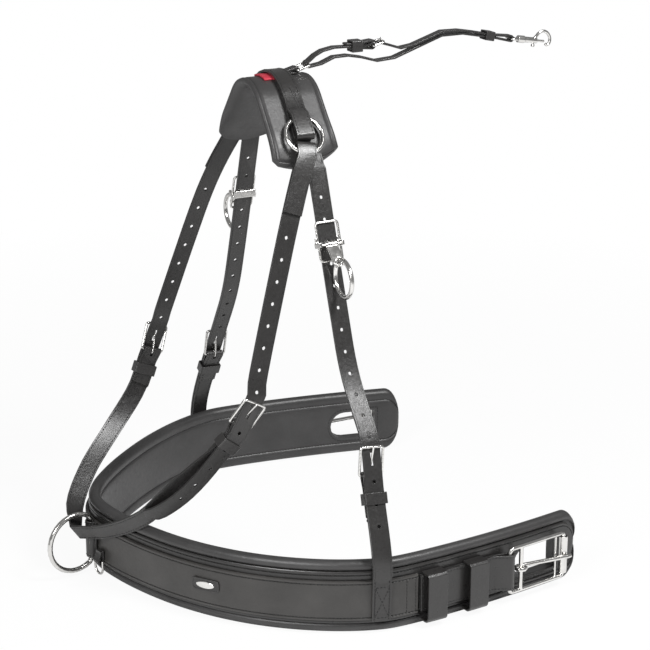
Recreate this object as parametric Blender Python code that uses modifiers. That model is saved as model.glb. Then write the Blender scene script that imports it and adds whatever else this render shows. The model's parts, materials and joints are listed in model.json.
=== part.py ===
"""Breast collar of a driving harness, with its neck pad, neck straps, rein terrets and tether.

Run it with blender --background --python part.py, or from the text editor.
The chest faces -X, the near side is -Y, and the origin is under the crown of the neck pad.
"""

import math

import bmesh
import bpy
from mathutils import Matrix, Vector

# Shared clearances
GAP = 0.0004
LAYER_GAP = 0.0009
OVERRUN = 0.006
WELD = 0.00001
UP = Vector((0, 0, 1))
REARWARD = Vector((1, 0, 0))

# Strap leather
STRAP_WIDTH = 0.022
STRAP_THICK = 0.0028
LINING_THICK = 0.0025
HOLE_PITCH = 0.025
HOLE_RADIUS = 0.0023
HOLE_SIDES = 6
STATION_PITCH = 0.0125

# Breast band, seen from above
BAND_HALF_WIDTH = 0.257
BAND_WIDEST_X = 0.030
BAND_FRONT_REACH = 0.249
BAND_REAR_SWEEP = 0.680
BAND_END_X = 0.281
FRONT_DRIFT = 0.039
BAND_NOSE_POWER_SHARE = 1.6
DRIFT_POWER_SHARE = 7
BAND_SAMPLES = 600
BAND_TURN = math.radians(8)
BAND_LONGEST_STEP = 0.070

# Breast band, in section; heights are from its middle line
BAND_Z = -0.5265
PADDING_HEIGHT = 0.087
PADDING_INSIDE = 0.0055
PADDING_OUTSIDE = 0.0050
ROLL_RADIUS = 0.0070
ROLL_OUTSIDE = 0.0085
COVER_HEIGHT = 0.064
COVER_THICK = 0.0030
TUG_HEIGHT = 0.048
TUG_THICK = 0.0040
TUG_DROP = 0.0025
END_ROUNDING = 0.021
COVER_END_MARGIN = 0.006

# Trace buckle and its chape; distances along the band are from its rear end
CHAPE_BAR_FROM_END = 0.114
TONGUE_BAR_FROM_END = 0.097
INNER_BAR_FROM_END = 0.044
ROLLER_FROM_END = 0.033
TRACE_BUCKLE_WIDTH = 0.060
TRACE_BAR_RADIUS = 0.0026
TRACE_CORNER = 0.0045
ROLLER_RADIUS = 0.0050
TRACE_TONGUE_RADIUS = 0.0027
TRACE_CHAPE_HEIGHT = 0.044
TRACE_CHAPE_THICK = 0.0028
TRACE_FOLD_TURN = math.radians(212)
TUG_END_FROM_END = 0.232
TRACE_BUCKLE_OUT = 0.0195
WINDOW_HEIGHT = 0.038
WINDOW_FRONT_FROM_END = 0.099
WINDOW_REAR_FROM_END = 0.036

# Box keepers on the tug
BOX_KEEPER_LENGTH = 0.0255
BOX_KEEPER_SAG = 0.0095
BOX_KEEPER_BEND = 0.0080
BOX_KEEPER_THICK = 0.0026
BOX_KEEPER_DEPTH = 0.0165
FRONT_BOX_FROM_END = 0.2160
REAR_BOX_FROM_END = 0.1605

# Plain plate on the near side of the front
PLATE_LENGTH = 0.034
PLATE_HEIGHT = 0.015
PLATE_THICK = 0.0014
PLATE_BORDER = 0.0016
PLATE_RIM = 0.0006
PLATE_ALONG = 0.196

# Chest ring, its leather loop, and the dee under it
CHEST_RING_RADIUS = 0.0352
CHEST_RING_WIRE = 0.0032
CHEST_RING_TURN = math.radians(-13)
CHEST_BAR_FROM_MIDDLE = 0.0216
CHEST_BAR_BEND = 0.004
CHEST_RING_STEPS = 22
FRONT_MIDDLE = 0.011
LOOP_HEIGHT = 0.046
LOOP_WING = 0.0096
LOOP_THICK = 0.0025
LOOP_INNER = 0.0040
FRONT_DEE_WIDTH = 0.017
FRONT_DEE_DROP = 0.0175
FRONT_DEE_WIRE = 0.0015
FRONT_DEE_ALONG = 0.030
FRONT_DEE_HEIGHT = -0.0200
FRONT_TAB_TOP = -0.0080
FRONT_TAB_JOIN = -0.0120

# Neck pad
PAD_THICK = 0.016
PAD_EDGE_THICK = 0.006
PAD_LENGTH = 0.078
PAD_CROWN_RADIUS = 0.034
PAD_SIDE_ANGLE = math.radians(50)
PAD_SIDE_REACH = 0.107
PAD_TIP_BULGE = 0.007
PAD_CORNER = 0.006
PAD_ACROSS_STEPS = 6
PAD_ALONG_SHARES = (0, 0.07, 0.14, 0.21, 0.28, 0.38, 0.52, 0.68, 0.84, 0.95, 1)
PAD_TIP_DROP = 0.0088
PAD_TIP_SHARE = 0.66
PAD_REAR_RAISE = 0.009
PAD_REAR_FLARE = 0.005

# Neck ring
NECK_RING_RADIUS = 0.0220
NECK_RING_WIRE = 0.0024
NECK_RING_REACH = 0.0820
FOLD_LEG = 0.0045
CENTRE_FOLD_PAST_RING_MIDDLE = 0.0042

# Crest pieces
CENTRE_UNDERLAY_END = 0.018
CREST_CHAPE_THICK = 0.0022
CREST_CHAPE_WIDTH = 0.0115
CREST_CHAPE_TAIL_X = -0.006
CREST_TAB_LENGTH = 0.014
CREST_TAB_WIDTH = 0.020
CREST_DEE_X = 0.0235
CREST_DEE_LENGTH = 0.0168
CREST_DEE_HALF_WIDTH = 0.0082
CREST_DEE_WIRE = 0.0016
CREST_DEE_TILT = math.radians(18)

# Routes of the neck straps, near side, as places along the line from ring to buckle or band
FRONT_FOLD_TURN = math.radians(-12)
FOLD_APEX = 0.0106
CHAPE_RETURN = 0.083
STRAP_OUT_AT_BAND = 0.0178
REAR_STRAP_X = 0.008
REAR_BULGE = 0.010
REAR_TOP = (
    Vector((0.0068, -0.0825, -0.0590)),
    Vector((0.0074, -0.0891, -0.0694)),
    Vector((0.0078, -0.0940, -0.0792)),
)
REAR_START = Vector((0.0075, -0.0955, -0.064))
REAR_ROUTE_SHARES = (
    (0.38, 0.275, 0.39), (0.55, 0.44, 0.56), (0.71, 0.705, 0.9), (0.83, 0.83, 0.4)
)
REAR_FIRST_HOLE = 0.0560
REAR_TONGUE_HOLE = 13
REAR_HOLES = 16
REAR_TAIL = 0.064
FRONT_START = Vector((-0.010, -0.0955, -0.064))
FRONT_BUCKLE = Vector((-0.1070, -0.1510, -0.3410))
FRONT_ROUTE_SHARES = ((0.04, 0.045, 0.035), (0.34, 0.42, 0.289), (0.80, 0.85, 0.80), (0.86, 0.96, 0.89))
FRONT_FIRST_HOLE = 0.1098
FRONT_TONGUE_HOLE = 9
FRONT_HOLES = 14
FRONT_TAIL = 0.060
ARM_SHARES = ((0.20, 0.10, 0.20), (0.45, 0.27, 0.47), (0.68, 0.52, 0.76), (0.86, 0.78, 0.93))
FAR_ARM_SHARES = (
    (0.05, 0.04, 0.14), (0.162, 0.14, 0.32), (0.405, 0.30, 0.52), (0.705, 0.52, 0.72), (0.92, 0.76, 0.88),
)
ARM_BULGE = 0.014
ARM_TWIST_SHARE = 0.2
FAR_ARM_TWIST_SHARE = 0.78
ARM_RISE = 0.008
FREE_END_SAG = 0.007
RING_PASS_OUT = 0.021
RING_PASS_RISE = 0.0135
RING_PASS_LEAN = math.radians(33)
END_POINT_SHARE = 0.35

# Neck buckles
BUCKLE_LENGTH = 0.031
HOLE_TO_BAR_SHARE = 0.57
BUCKLE_WIRE = 0.00175
BUCKLE_SIDE_PLAY = 0.0010
BUCKLE_CORNER = 0.0025
TONGUE_WIRE = 0.0013
TONGUE_OVERHANG = 0.0020
TONGUE_LIFT = math.radians(8)
TONGUE_WRAP = math.radians(250)
CHAPE_SLOT_REACH = 0.0065
CHAPE_TAIL = 0.046
CHAPE_STRAIGHT = 0.012
KEEPER_LENGTH = 0.013
KEEPER_THICK = 0.0019
KEEPER_PLAY = 0.0006
KEEPER_BELOW_BAR = 0.026
CHAPE_LEG_START = 0.015

# Rein terret
TERRET_LENGTH = 0.044
TERRET_WIRE = 0.0015
TERRET_PLATE_LENGTH = 0.010
TERRET_PLATE_THICK = 0.0020
TERRET_PIN_DOWN = 0.0035
TERRET_PIN_OUT = 0.0075
TERRET_PIN_RADIUS = 0.0016
TERRET_EAR_LENGTH = 0.0055
TERRET_EAR_THICK = 0.0030
TERRET_KNUCKLE_RADIUS = 0.0033
TERRET_KNUCKLE_LENGTH = 0.0150
LUG_LENGTH = 0.024
LUG_TILT = math.radians(32)
LUG_THICK = 0.0028
LUG_WIDTH = 0.0140
LUG_EYE_RADIUS = 0.0045
TERRET_RING_RADIUS = 0.0210
TERRET_RING_WIRE = 0.0026
TERRET_RING_REST = 0.0012
TERRET_HOLE = 3
TERRET_STRAIGHT = 0.0484

# Tether
TETHER_WIDTH = 0.011
TETHER_THICK = 0.0024
TETHER_REACH = 0.2700
TETHER_UPPER_SHARES = ((0.03, 0.035), (0.065, 0.052), (0.12, 0.062), (0.20, 0.060), (0.262, 0.056))
TETHER_LOWER_SHARES = (
    (0.060, -0.003), (0.120, 0.0205), (0.185, 0.0225), (0.250, 0.010), (0.325, -0.012), (0.41, -0.006),
    (0.53, 0.036), (0.64, 0.073), (0.745, 0.074), (0.905, 0.0433),
)
TETHER_BACK_SHARES = (
    (0.905, 0.0541), (0.80, 0.0765), (0.73, 0.0890), (0.645, 0.090), (0.56, 0.062), (0.50, 0.042),
    (0.44, 0.034), (0.378, 0.0543), (0.3560, 0.0610),
)
TETHER_TAIL_SHARES = ((0.326, 0.0703), (0.300, 0.0785), (0.27, 0.0757), (0.235, 0.0706), (0.175, 0.0715))
TETHER_EYE_SHARES = (0.990, 0.033)
TETHER_BAR_SHARES = (0.300, 0.056)
TETHER_BUCKLE_LENGTH = 0.0150
TETHER_WIRE = 0.0014
TETHER_BUCKLE_RISE = math.radians(17.4)
TETHER_TONGUE_WIRE = 0.0009
TETHER_SLOT_SHARES = (0.42, 0.79)
TETHER_KEEPER_THICK = 0.0016
TETHER_KEEPER_PLAY = 0.0007
TETHER_KEEPER_SHARES = (0.226, 0.0603)
TETHER_KEEPER_LENGTH = 0.0135
TETHER_KEEPER_RISE = 0
TETHER_END_KEEPER_SHARES = (0.880, 0.0538)
TETHER_END_KEEPER_LENGTH = 0.0120
TETHER_END_KEEPER_RISE = math.radians(-11.3)

# Snap hook, with places along it from the strap's bar
SNAP_FALL = math.radians(9)
SNAP_EYE_LENGTH = 0.0095
SNAP_EYE_WIRE = 0.0015
SNAP_POST_RADIUS = 0.0012
SNAP_HEAD_RADIUS = 0.0026
SNAP_COLLAR_RADIUS = 0.0045
SNAP_COLLAR_START = 0.0120
SNAP_HEAD_START = 0.0160
SNAP_HEAD_END = 0.0192
SNAP_COLLAR_END = 0.0215
SNAP_BARREL_RADIUS = 0.0036
SNAP_BARREL_END = 0.0390
SNAP_BORE_START = 0.0250
SNAP_BOLT_RADIUS = 0.0016
SNAP_BOLT_START = 0.0320
SNAP_TRAVEL = 0.0062
SNAP_STEM_AT = 0.0350
SNAP_STEM_RADIUS = 0.0010
SNAP_KNOB_RADIUS = 0.0023
SNAP_KNOB_NEAR = 0.0046
SNAP_KNOB_FAR = 0.0078
SNAP_HOOK_WIRE = 0.0020
SNAP_HOOK_REACH = 0.0190
SNAP_HOOK_SHARES = (
    (-0.22, 0.10), (-0.05, 0.28), (0.10, 0.50), (0.38, 0.64), (0.68, 0.58), (0.91, 0.36), (1.0, 0.08),
    (0.95, -0.14), (0.82, -0.22), (0.70, -0.16),
)

BLACK_LEATHER = (0.045, 0.044, 0.043, 1)
SOFT_LEATHER = (0.055, 0.054, 0.053, 1)
STEEL = (0.78, 0.77, 0.74, 1)
RED = (0.42, 0.02, 0.04, 1)


def clear_scene():
    for obj in list(bpy.data.objects):
        bpy.data.objects.remove(obj)


def make_collection(name, hidden=False):
    made = bpy.data.collections.new(name)
    bpy.context.scene.collection.children.link(made)
    made.hide_render = hidden
    return made


def make_paint(name, colour, roughness, metallic):
    paint = bpy.data.materials.new(name)
    paint.use_nodes = True
    shader = paint.node_tree.nodes["Principled BSDF"]
    shader.inputs["Base Color"].default_value = colour
    shader.inputs["Roughness"].default_value = roughness
    shader.inputs["Metallic"].default_value = metallic
    return paint


def leather():
    return make_paint("black_leather", BLACK_LEATHER, 0.45, 0)


def soft_leather():
    return make_paint("soft_leather", SOFT_LEATHER, 0.6, 0)


def steel():
    return make_paint("stainless_steel", STEEL, 0.2, 1)


def red_leather():
    return make_paint("red_leather", RED, 0.5, 0)


def link(name, data, paint, frame=None):
    obj = bpy.data.objects.new(name, data)
    bpy.data.collections["breast_collar"].objects.link(obj)
    if paint is not None:
        data.materials.append(paint)
    if frame is not None:
        obj.matrix_world = frame
    return obj


def as_cutter(obj):
    bpy.data.collections["breast_collar"].objects.unlink(obj)
    bpy.data.collections["cutters"].objects.link(obj)
    obj.hide_render = True
    obj.display_type = "WIRE"
    return obj


def combine(obj, other, operation):
    boolean = obj.modifiers.new(operation.lower(), "BOOLEAN")
    boolean.operation = operation
    boolean.object = as_cutter(other)
    return obj


def settled(obj):
    """The object with its modifiers applied and its mesh in world coordinates."""
    bpy.context.view_layer.update()
    evaluated = obj.evaluated_get(bpy.context.evaluated_depsgraph_get())
    mesh = bpy.data.meshes.new_from_object(evaluated)
    mesh.transform(obj.matrix_world)
    bm = bmesh.new()
    bm.from_mesh(mesh)
    bmesh.ops.remove_doubles(bm, verts=bm.verts, dist=WELD)
    bmesh.ops.recalc_face_normals(bm, faces=bm.faces)
    bm.to_mesh(mesh)
    bm.free()
    name = obj.name
    paints = [slot.material for slot in obj.material_slots]
    bpy.data.objects.remove(obj)
    mesh.materials.clear()
    for paint in paints:
        mesh.materials.append(paint)
    return link(name, mesh, None)


def mirrored(obj, name):
    """The far side's copy of a near side's piece."""
    mesh = obj.data.copy()
    mesh.transform(Matrix.Diagonal((1, -1, 1, 1)) @ obj.matrix_world)
    mesh.flip_normals()
    return link(name, mesh, None)


def far_copy(obj, piece):
    """The far side's piece from a block made along the far route on the near side."""
    block = settled(obj)
    far = mirrored(block, "far_" + piece)
    bpy.data.objects.remove(block)
    return far


def pair(obj, piece):
    """Names the near piece and adds the far one."""
    near = settled(obj)
    near.name = "near_" + piece
    return near, mirrored(near, "far_" + piece)


def sides(make, piece, near_route, far_route):
    """Makes a piece along each side's own route."""
    near = settled(make(near_route))
    near.name = "near_" + piece
    return near, far_copy(make(far_route), piece)


def hinge_origin(obj, place):
    """Puts a moving piece's origin on its joint's axis."""
    obj.data.transform(Matrix.Translation(-place))
    obj.location = place


def frame_of(origin, along, side):
    """A matrix with X along, Y towards side and Z square to both."""
    x = along.normalized()
    z = x.cross(side).normalized()
    y = z.cross(x)
    matrix = Matrix((x, y, z)).transposed().to_4x4()
    matrix.translation = origin
    return matrix


def box(name, size, frame, paint, centre=Vector((0, 0, 0))):
    bm = bmesh.new()
    bmesh.ops.create_cube(bm, size=1, matrix=Matrix.Translation(centre) @ Matrix.Diagonal((*size, 1)))
    mesh = bpy.data.meshes.new(name)
    bm.to_mesh(mesh)
    bm.free()
    return link(name, mesh, paint, frame)


def cylinder(name, start, end, radius, paint, sides=12):
    axis = end - start
    bm = bmesh.new()
    bmesh.ops.create_cone(
        bm, cap_ends=True, segments=sides, radius1=radius, radius2=radius, depth=axis.length
    )
    mesh = bpy.data.meshes.new(name)
    bm.to_mesh(mesh)
    bm.free()
    frame = axis.to_track_quat("Z", "Y").to_matrix().to_4x4()
    frame.translation = (start + end) / 2
    return link(name, mesh, paint, frame)


def pipe(name, start, end, radius, bore, paint, sides=12):
    obj = cylinder(name, start, end, radius, paint, sides)
    reach = (end - start).normalized() * OVERRUN
    combine(obj, cylinder(name + "_bore", start - reach, end + reach, bore, None, sides), "DIFFERENCE")
    return obj


def wire(name, points, radius, paint, closed=False, frame=None):
    data = bpy.data.curves.new(name, "CURVE")
    data.dimensions = "3D"
    data.bevel_depth = radius
    data.bevel_resolution = 2
    data.use_fill_caps = True
    line = data.splines.new("POLY")
    line.points.add(len(points) - 1)
    line.use_cyclic_u = closed
    for spot, point in zip(line.points, points):
        spot.co = (*point, 1)
    return link(name, data, paint, frame)


def plate(name, outlines, thick, paint, frame):
    """A flat piece from closed outlines in its own XY plane; later outlines are holes."""
    data = bpy.data.curves.new(name, "CURVE")
    data.dimensions = "2D"
    data.fill_mode = "BOTH"
    data.extrude = thick / 2
    for outline in outlines:
        line = data.splines.new("POLY")
        line.points.add(len(outline) - 1)
        line.use_cyclic_u = True
        for spot, point in zip(line.points, outline):
            spot.co = (point[0], point[1], 0, 1)
    return link(name, data, paint, frame)


def ring_points(radius, count):
    return [
        Vector((radius * math.cos(math.tau * i / count), radius * math.sin(math.tau * i / count), 0))
        for i in range(count)
    ]


def rounded_rectangle(low_x, high_x, half_y, corner, steps=3):
    """A closed outline, counter-clockwise, with quarter-round corners."""
    points = []
    corners = (
        (high_x - corner, half_y - corner, 0),
        (low_x + corner, half_y - corner, 1),
        (low_x + corner, corner - half_y, 2),
        (high_x - corner, corner - half_y, 3),
    )
    for x, y, quarter in corners:
        for i in range(steps):
            angle = math.pi / 2 * (quarter + i / (steps - 1))
            points.append(Vector((x + corner * math.cos(angle), y + corner * math.sin(angle), 0)))
    return points


def strip(name, stations, thick, paint):
    """A strap: stations hold its middle point, its across direction and its half width."""
    bm = bmesh.new()
    rows = []
    bmesh.ops.create_grid(bm, x_segments=len(stations) - 1, y_segments=1, size=1)
    ordered = sorted(bm.verts, key=lambda vert: (round(vert.co.x, 5), vert.co.y))
    for i in range(len(stations)):
        rows.append(ordered[2 * i : 2 * i + 2])
    for (point, across, half), row in zip(stations, rows):
        row[0].co = point - across * half
        row[1].co = point + across * half
    mesh = bpy.data.meshes.new(name)
    bm.to_mesh(mesh)
    bm.free()
    obj = link(name, mesh, paint)
    solid = obj.modifiers.new("thickness", "SOLIDIFY")
    solid.thickness = thick
    solid.offset = 0
    solid.use_even_offset = True
    return obj


def smooth_line(points, step):
    """Points a step apart or less on one smooth curve through the given ones."""
    line = []
    ends = [2 * points[0] - points[1]] + list(points) + [2 * points[-1] - points[-2]]
    for before, start, end, after in zip(ends, ends[1:], ends[2:], ends[3:]):
        count = max(1, math.ceil((end - start).length / step))
        for i in range(count):
            t = i / count
            line.append(
                0.5
                * (
                    2 * start
                    + (end - before) * t
                    + (2 * before - 5 * start + 4 * end - after) * t * t
                    + (3 * start - before - 3 * end + after) * t**3
                )
            )
    line.append(points[-1].copy())
    return line


class Route:
    """The middle line of a strap, with its across direction and the side that faces out."""

    def __init__(self, points, across_hints, step=0.004):
        self.points = smooth_line(points, step)
        self.places = points
        self.hints = across_hints
        self.measure()

    def measure(self):
        self.lengths = [0.0]
        for a, b in zip(self.points, self.points[1:]):
            self.lengths.append(self.lengths[-1] + (b - a).length)
        self.length = self.lengths[-1]
        self.marks = [self.nearest(place) for place in self.places]

    def straighten(self, low, high):
        """Makes the line straight between two distances."""
        start = self.point(low)
        end = self.point(high)
        for i, length in enumerate(self.lengths):
            if low <= length <= high:
                self.points[i] = start.lerp(end, (length - low) / (high - low))
        self.measure()

    def nearest(self, place):
        best = min(range(len(self.points)), key=lambda i: (self.points[i] - place).length)
        return self.lengths[best]

    def point(self, d):
        if d <= 0:
            return self.points[0] + (self.points[0] - self.points[1]).normalized() * -d
        if d >= self.length:
            return self.points[-1] + (self.points[-1] - self.points[-2]).normalized() * (d - self.length)
        i = next(i for i, length in enumerate(self.lengths) if length > d) - 1
        share = (d - self.lengths[i]) / (self.lengths[i + 1] - self.lengths[i])
        return self.points[i].lerp(self.points[i + 1], share)

    def at(self, d, span=0.003):
        """Point, along, across and outward at a distance from the start."""
        point = self.point(d)
        along = (self.point(d + span) - self.point(d - span)).normalized()
        hint = self.hints[-1]
        for m0, m1, h0, h1 in zip(self.marks, self.marks[1:], self.hints, self.hints[1:]):
            if d < m1:
                share = min(max((d - m0) / (m1 - m0), 0), 1)
                hint = h0.lerp(h1, share)
                break
        across = (hint - along * hint.dot(along)).normalized()
        return point, along, across, along.cross(across)

    def place(self, d, out, side=0.0):
        point, _, across, outward = self.at(d)
        return point + outward * out + across * side

    def station(self, d, out, half):
        point, _, across, outward = self.at(d)
        return (point + outward * out, across, half)


class BandLine:
    """The middle line of the padding seen from above, measured from its nose, near side positive."""

    def __init__(self):
        rear = ((BAND_END_X - BAND_WIDEST_X) / BAND_REAR_SWEEP) ** (BAND_NOSE_POWER_SHARE / 2)
        self.end_angle = math.pi - math.acos(rear)
        self.points = [self.plan(2 * i / BAND_SAMPLES - 1) for i in range(BAND_SAMPLES + 1)]
        self.lengths = [0.0]
        for a, b in zip(self.points, self.points[1:]):
            self.lengths.append(self.lengths[-1] + (b - a).length)
        nose = self.lengths[BAND_SAMPLES // 2]
        self.lengths = [length - nose for length in self.lengths]
        self.near_end = self.lengths[-1]
        self.far_end = self.lengths[0]
        self.edges = sorted(self.edges_from(self.far_end) + self.edges_from(self.near_end))
        self.corners = [(self.at(s)[0], self.at(s)[2]) for s in self.edges]

    def plan(self, u):
        angle = abs(u) * self.end_angle
        cosine = math.cos(angle)
        reach = BAND_FRONT_REACH if cosine > 0 else BAND_REAR_SWEEP
        power = 2 / BAND_NOSE_POWER_SHARE
        x = BAND_WIDEST_X - reach * math.copysign(abs(cosine) ** power, cosine)
        y = -math.copysign(1, u) * BAND_HALF_WIDTH * math.sin(angle) ** power
        return Vector((x, y + FRONT_DRIFT * max(cosine, 0) ** DRIFT_POWER_SHARE, 0))

    def point(self, s):
        low, high = 0, BAND_SAMPLES
        while high - low > 1:
            middle = (low + high) // 2
            if self.lengths[middle] <= s:
                low = middle
            else:
                high = middle
        share = (s - self.lengths[low]) / (self.lengths[high] - self.lengths[low])
        return self.points[low] + (self.points[high] - self.points[low]) * share

    def at(self, s, span=0.004):
        along = (self.point(s + span) - self.point(s - span)).normalized()
        return self.point(s), along, Vector((along.y, -along.x, 0))

    def place(self, s, out, height):
        """A place beside the line, on flat stretches between the edges that all the layers share."""
        last = len(self.edges) - 2
        i = next((i for i in range(last) if self.edges[i + 1] > s), last)
        share = (s - self.edges[i]) / (self.edges[i + 1] - self.edges[i])
        point = self.corners[i][0].lerp(self.corners[i + 1][0], share)
        outward = self.corners[i][1].lerp(self.corners[i + 1][1], share)
        return point + outward * out + UP * (BAND_Z + height)

    def arc_at_x(self, x):
        """Where the near side passes a given X."""
        s = self.near_end
        while self.point(s).x > x:
            s -= BAND_LONGEST_STEP / 100
        return s

    def edges_from(self, end):
        """Places from one end to the nose at which every layer of the band has an edge."""
        step = math.copysign(BAND_LONGEST_STEP / 20, -end)
        found = [end]
        s = end
        while (s + step) * end > 0:
            s += step
            turn = self.at(found[-1])[1].angle(self.at(s)[1], 0)
            if turn > BAND_TURN or abs(s - found[-1]) > BAND_LONGEST_STEP:
                found.append(s)
        return found

    def between(self, low, high):
        """The shared edges between two places."""
        return [s for s in self.edges if low + WELD < s < high - WELD]

    def bend(self, obj):
        """Bends a flat piece, with X along, Y out and Z up, round the band."""
        obj = settled(obj)
        bm = bmesh.new()
        bm.from_mesh(obj.data)
        low = min(vert.co.x for vert in bm.verts)
        high = max(vert.co.x for vert in bm.verts)
        for s in self.between(low, high):
            everything = bm.verts[:] + bm.edges[:] + bm.faces[:]
            bmesh.ops.bisect_plane(bm, geom=everything, plane_co=(s, 0, 0), plane_no=(1, 0, 0))
        for vert in bm.verts:
            vert.co = self.place(*vert.co)
        # Along, out and up make a left-handed set, so the bent faces are turned back.
        bmesh.ops.reverse_faces(bm, faces=bm.faces)
        bm.to_mesh(obj.data)
        bm.free()
        return obj


def band_plate(name, outlines, inside, thick, paint):
    """A plate in along and up coordinates that lies from inside to inside plus thick."""
    obj = plate(name, outlines, thick, paint, None)
    mesh_obj = settled(obj)
    for vert in mesh_obj.data.vertices:
        x, y, z = vert.co
        vert.co = (x, inside + thick / 2 + z, y)
    mesh_obj.data.flip_normals()
    return mesh_obj


def end_curve(end, direction, half_height, depth, steps=4):
    """The rounded end of a band, from bottom to top on the near end and back on the far one."""
    points = []
    for i in range(-steps, steps + 1):
        angle = math.pi / 2 * i / steps
        x = end + direction * depth * (math.cos(angle) - 1)
        points.append((x, direction * half_height * math.sin(angle)))
    return points


def band_outline(line, margin, half_height, middle=0.0):
    near = end_curve(line.near_end - margin, 1, half_height, END_ROUNDING)
    far = end_curve(line.far_end + margin, -1, half_height, END_ROUNDING)
    return [(x, y + middle) for x, y in near + far]


def window_outline(line, end, direction, steps=5):
    front = end - direction * WINDOW_FRONT_FROM_END
    rear = end - direction * WINDOW_REAR_FROM_END
    half = WINDOW_HEIGHT / 2
    points = [(rear, -half - TUG_DROP), (rear, half - TUG_DROP)]
    for i in range(steps + 1):
        angle = math.pi / 2 + math.pi * i / steps
        centre = front + direction * half
        points.append((centre + direction * half * math.cos(angle), half * math.sin(angle) - TUG_DROP))
    return points


def window_cutters(line, name):
    cutters = []
    for side, end, direction in (("near", line.near_end, 1), ("far", line.far_end, -1)):
        outline = window_outline(line, end, direction)
        thick = 2 * (ROLL_OUTSIDE + OVERRUN)
        cutters.append(band_plate(f"{name}_{side}_window", [outline], -thick / 2, thick, None))
    return cutters


def padding_profile():
    """Half of the padding's section, as (out, up) points from the middle to the top roll."""
    half = PADDING_HEIGHT / 2
    centre_out = ROLL_OUTSIDE - ROLL_RADIUS
    centre_up = half - ROLL_RADIUS
    outer = [(PADDING_OUTSIDE, COVER_HEIGHT / 2 + GAP)]
    inner = [(-PADDING_INSIDE, centre_up - ROLL_RADIUS)]
    arc = []
    for degrees in (-30, 0, 45, 90, 135, 180):
        angle = math.radians(degrees)
        out = centre_out + ROLL_RADIUS * math.cos(angle)
        arc.append((max(out, -PADDING_INSIDE), centre_up + ROLL_RADIUS * math.sin(angle)))
    return outer + arc + inner


def make_padding(line, paint):
    top = padding_profile()
    section = top + [(out, -up) for out, up in reversed(top)]
    length = line.near_end - line.far_end
    middle = (line.near_end + line.far_end) / 2
    block = settled(plate("band_padding", [section], length, paint, None))
    for vert in block.data.vertices:
        out, up, along = vert.co
        vert.co = (middle + along, out, up)
    for cutter in window_cutters(line, "padding"):
        combine(block, cutter, "DIFFERENCE")
    for name, end, direction in (("near", line.near_end, 1), ("far", line.far_end, -1)):
        half = PADDING_HEIGHT / 2
        curve = end_curve(end, direction, half, END_ROUNDING)
        outside = direction * OVERRUN
        rim = [(end + outside, direction * (half + OVERRUN)), (end + outside, -direction * (half + OVERRUN))]
        start = (curve[0][0], -direction * (half + OVERRUN))
        finish = (curve[-1][0], direction * (half + OVERRUN))
        outline = [start] + curve + [finish] + rim
        thick = 2 * (ROLL_OUTSIDE + OVERRUN)
        cutter = band_plate(f"padding_{name}_end", [outline], -thick / 2, thick, None)
        combine(block, cutter, "DIFFERENCE")
    return line.bend(block)


COVER_INSIDE = PADDING_OUTSIDE + GAP
TUG_INSIDE = COVER_INSIDE + COVER_THICK + GAP
TUG_OUTSIDE = TUG_INSIDE + TUG_THICK


def make_cover(line, paint):
    outline = band_outline(line, COVER_END_MARGIN, COVER_HEIGHT / 2)
    cover = band_plate("band_cover", [outline], COVER_INSIDE, COVER_THICK, paint)
    for cutter in window_cutters(line, "cover"):
        combine(cover, cutter, "DIFFERENCE")
    return line.bend(cover)


def make_tug(line, paint):
    low = line.far_end + TUG_END_FROM_END
    high = line.near_end - TUG_END_FROM_END
    half = TUG_HEIGHT / 2
    bottom, top = -half - TUG_DROP, half - TUG_DROP
    outline = [(low, bottom), (high, bottom), (high, top), (low, top)]
    return line.bend(band_plate("tug_strap", [outline], TUG_INSIDE, TUG_THICK, paint))


def trace_frame(line):
    """The near trace buckle's own axes: X to the rear, Y up, Z out."""
    bar = line.place(line.near_end - CHAPE_BAR_FROM_END, TRACE_BUCKLE_OUT, -TUG_DROP)
    roller = line.place(line.near_end - ROLLER_FROM_END, TRACE_BUCKLE_OUT, -TUG_DROP)
    along = (roller - bar).normalized()
    frame = frame_of(bar, along, UP)
    return frame, (roller - bar).length


def make_trace_buckle(line, paint):
    frame, length = trace_frame(line)
    half = TRACE_BUCKLE_WIDTH / 2 - TRACE_BAR_RADIUS
    path = rounded_rectangle(0, length, half, TRACE_CORNER)
    buckle = settled(wire("trace_buckle", path, TRACE_BAR_RADIUS, paint, True, frame))
    bars = (
        ("tongue", CHAPE_BAR_FROM_END - TONGUE_BAR_FROM_END, TRACE_BAR_RADIUS),
        ("inner", CHAPE_BAR_FROM_END - INNER_BAR_FROM_END, TRACE_BAR_RADIUS / 2),
    )
    for name, x, radius in bars:
        low = frame @ Vector((x, -half, 0))
        high = frame @ Vector((x, half, 0))
        combine(buckle, cylinder(f"trace_{name}_bar", low, high, radius, None), "UNION")
    return pair(buckle, "trace_buckle")


def make_trace_roller(line, paint):
    frame, length = trace_frame(line)
    half = TRACE_BUCKLE_WIDTH / 2 - TRACE_BAR_RADIUS - TRACE_CORNER
    low = frame @ Vector((length, -half, 0))
    high = frame @ Vector((length, half, 0))
    pair(pipe("trace_roller", low, high, ROLLER_RADIUS, TRACE_BAR_RADIUS + GAP, paint), "trace_roller")


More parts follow.
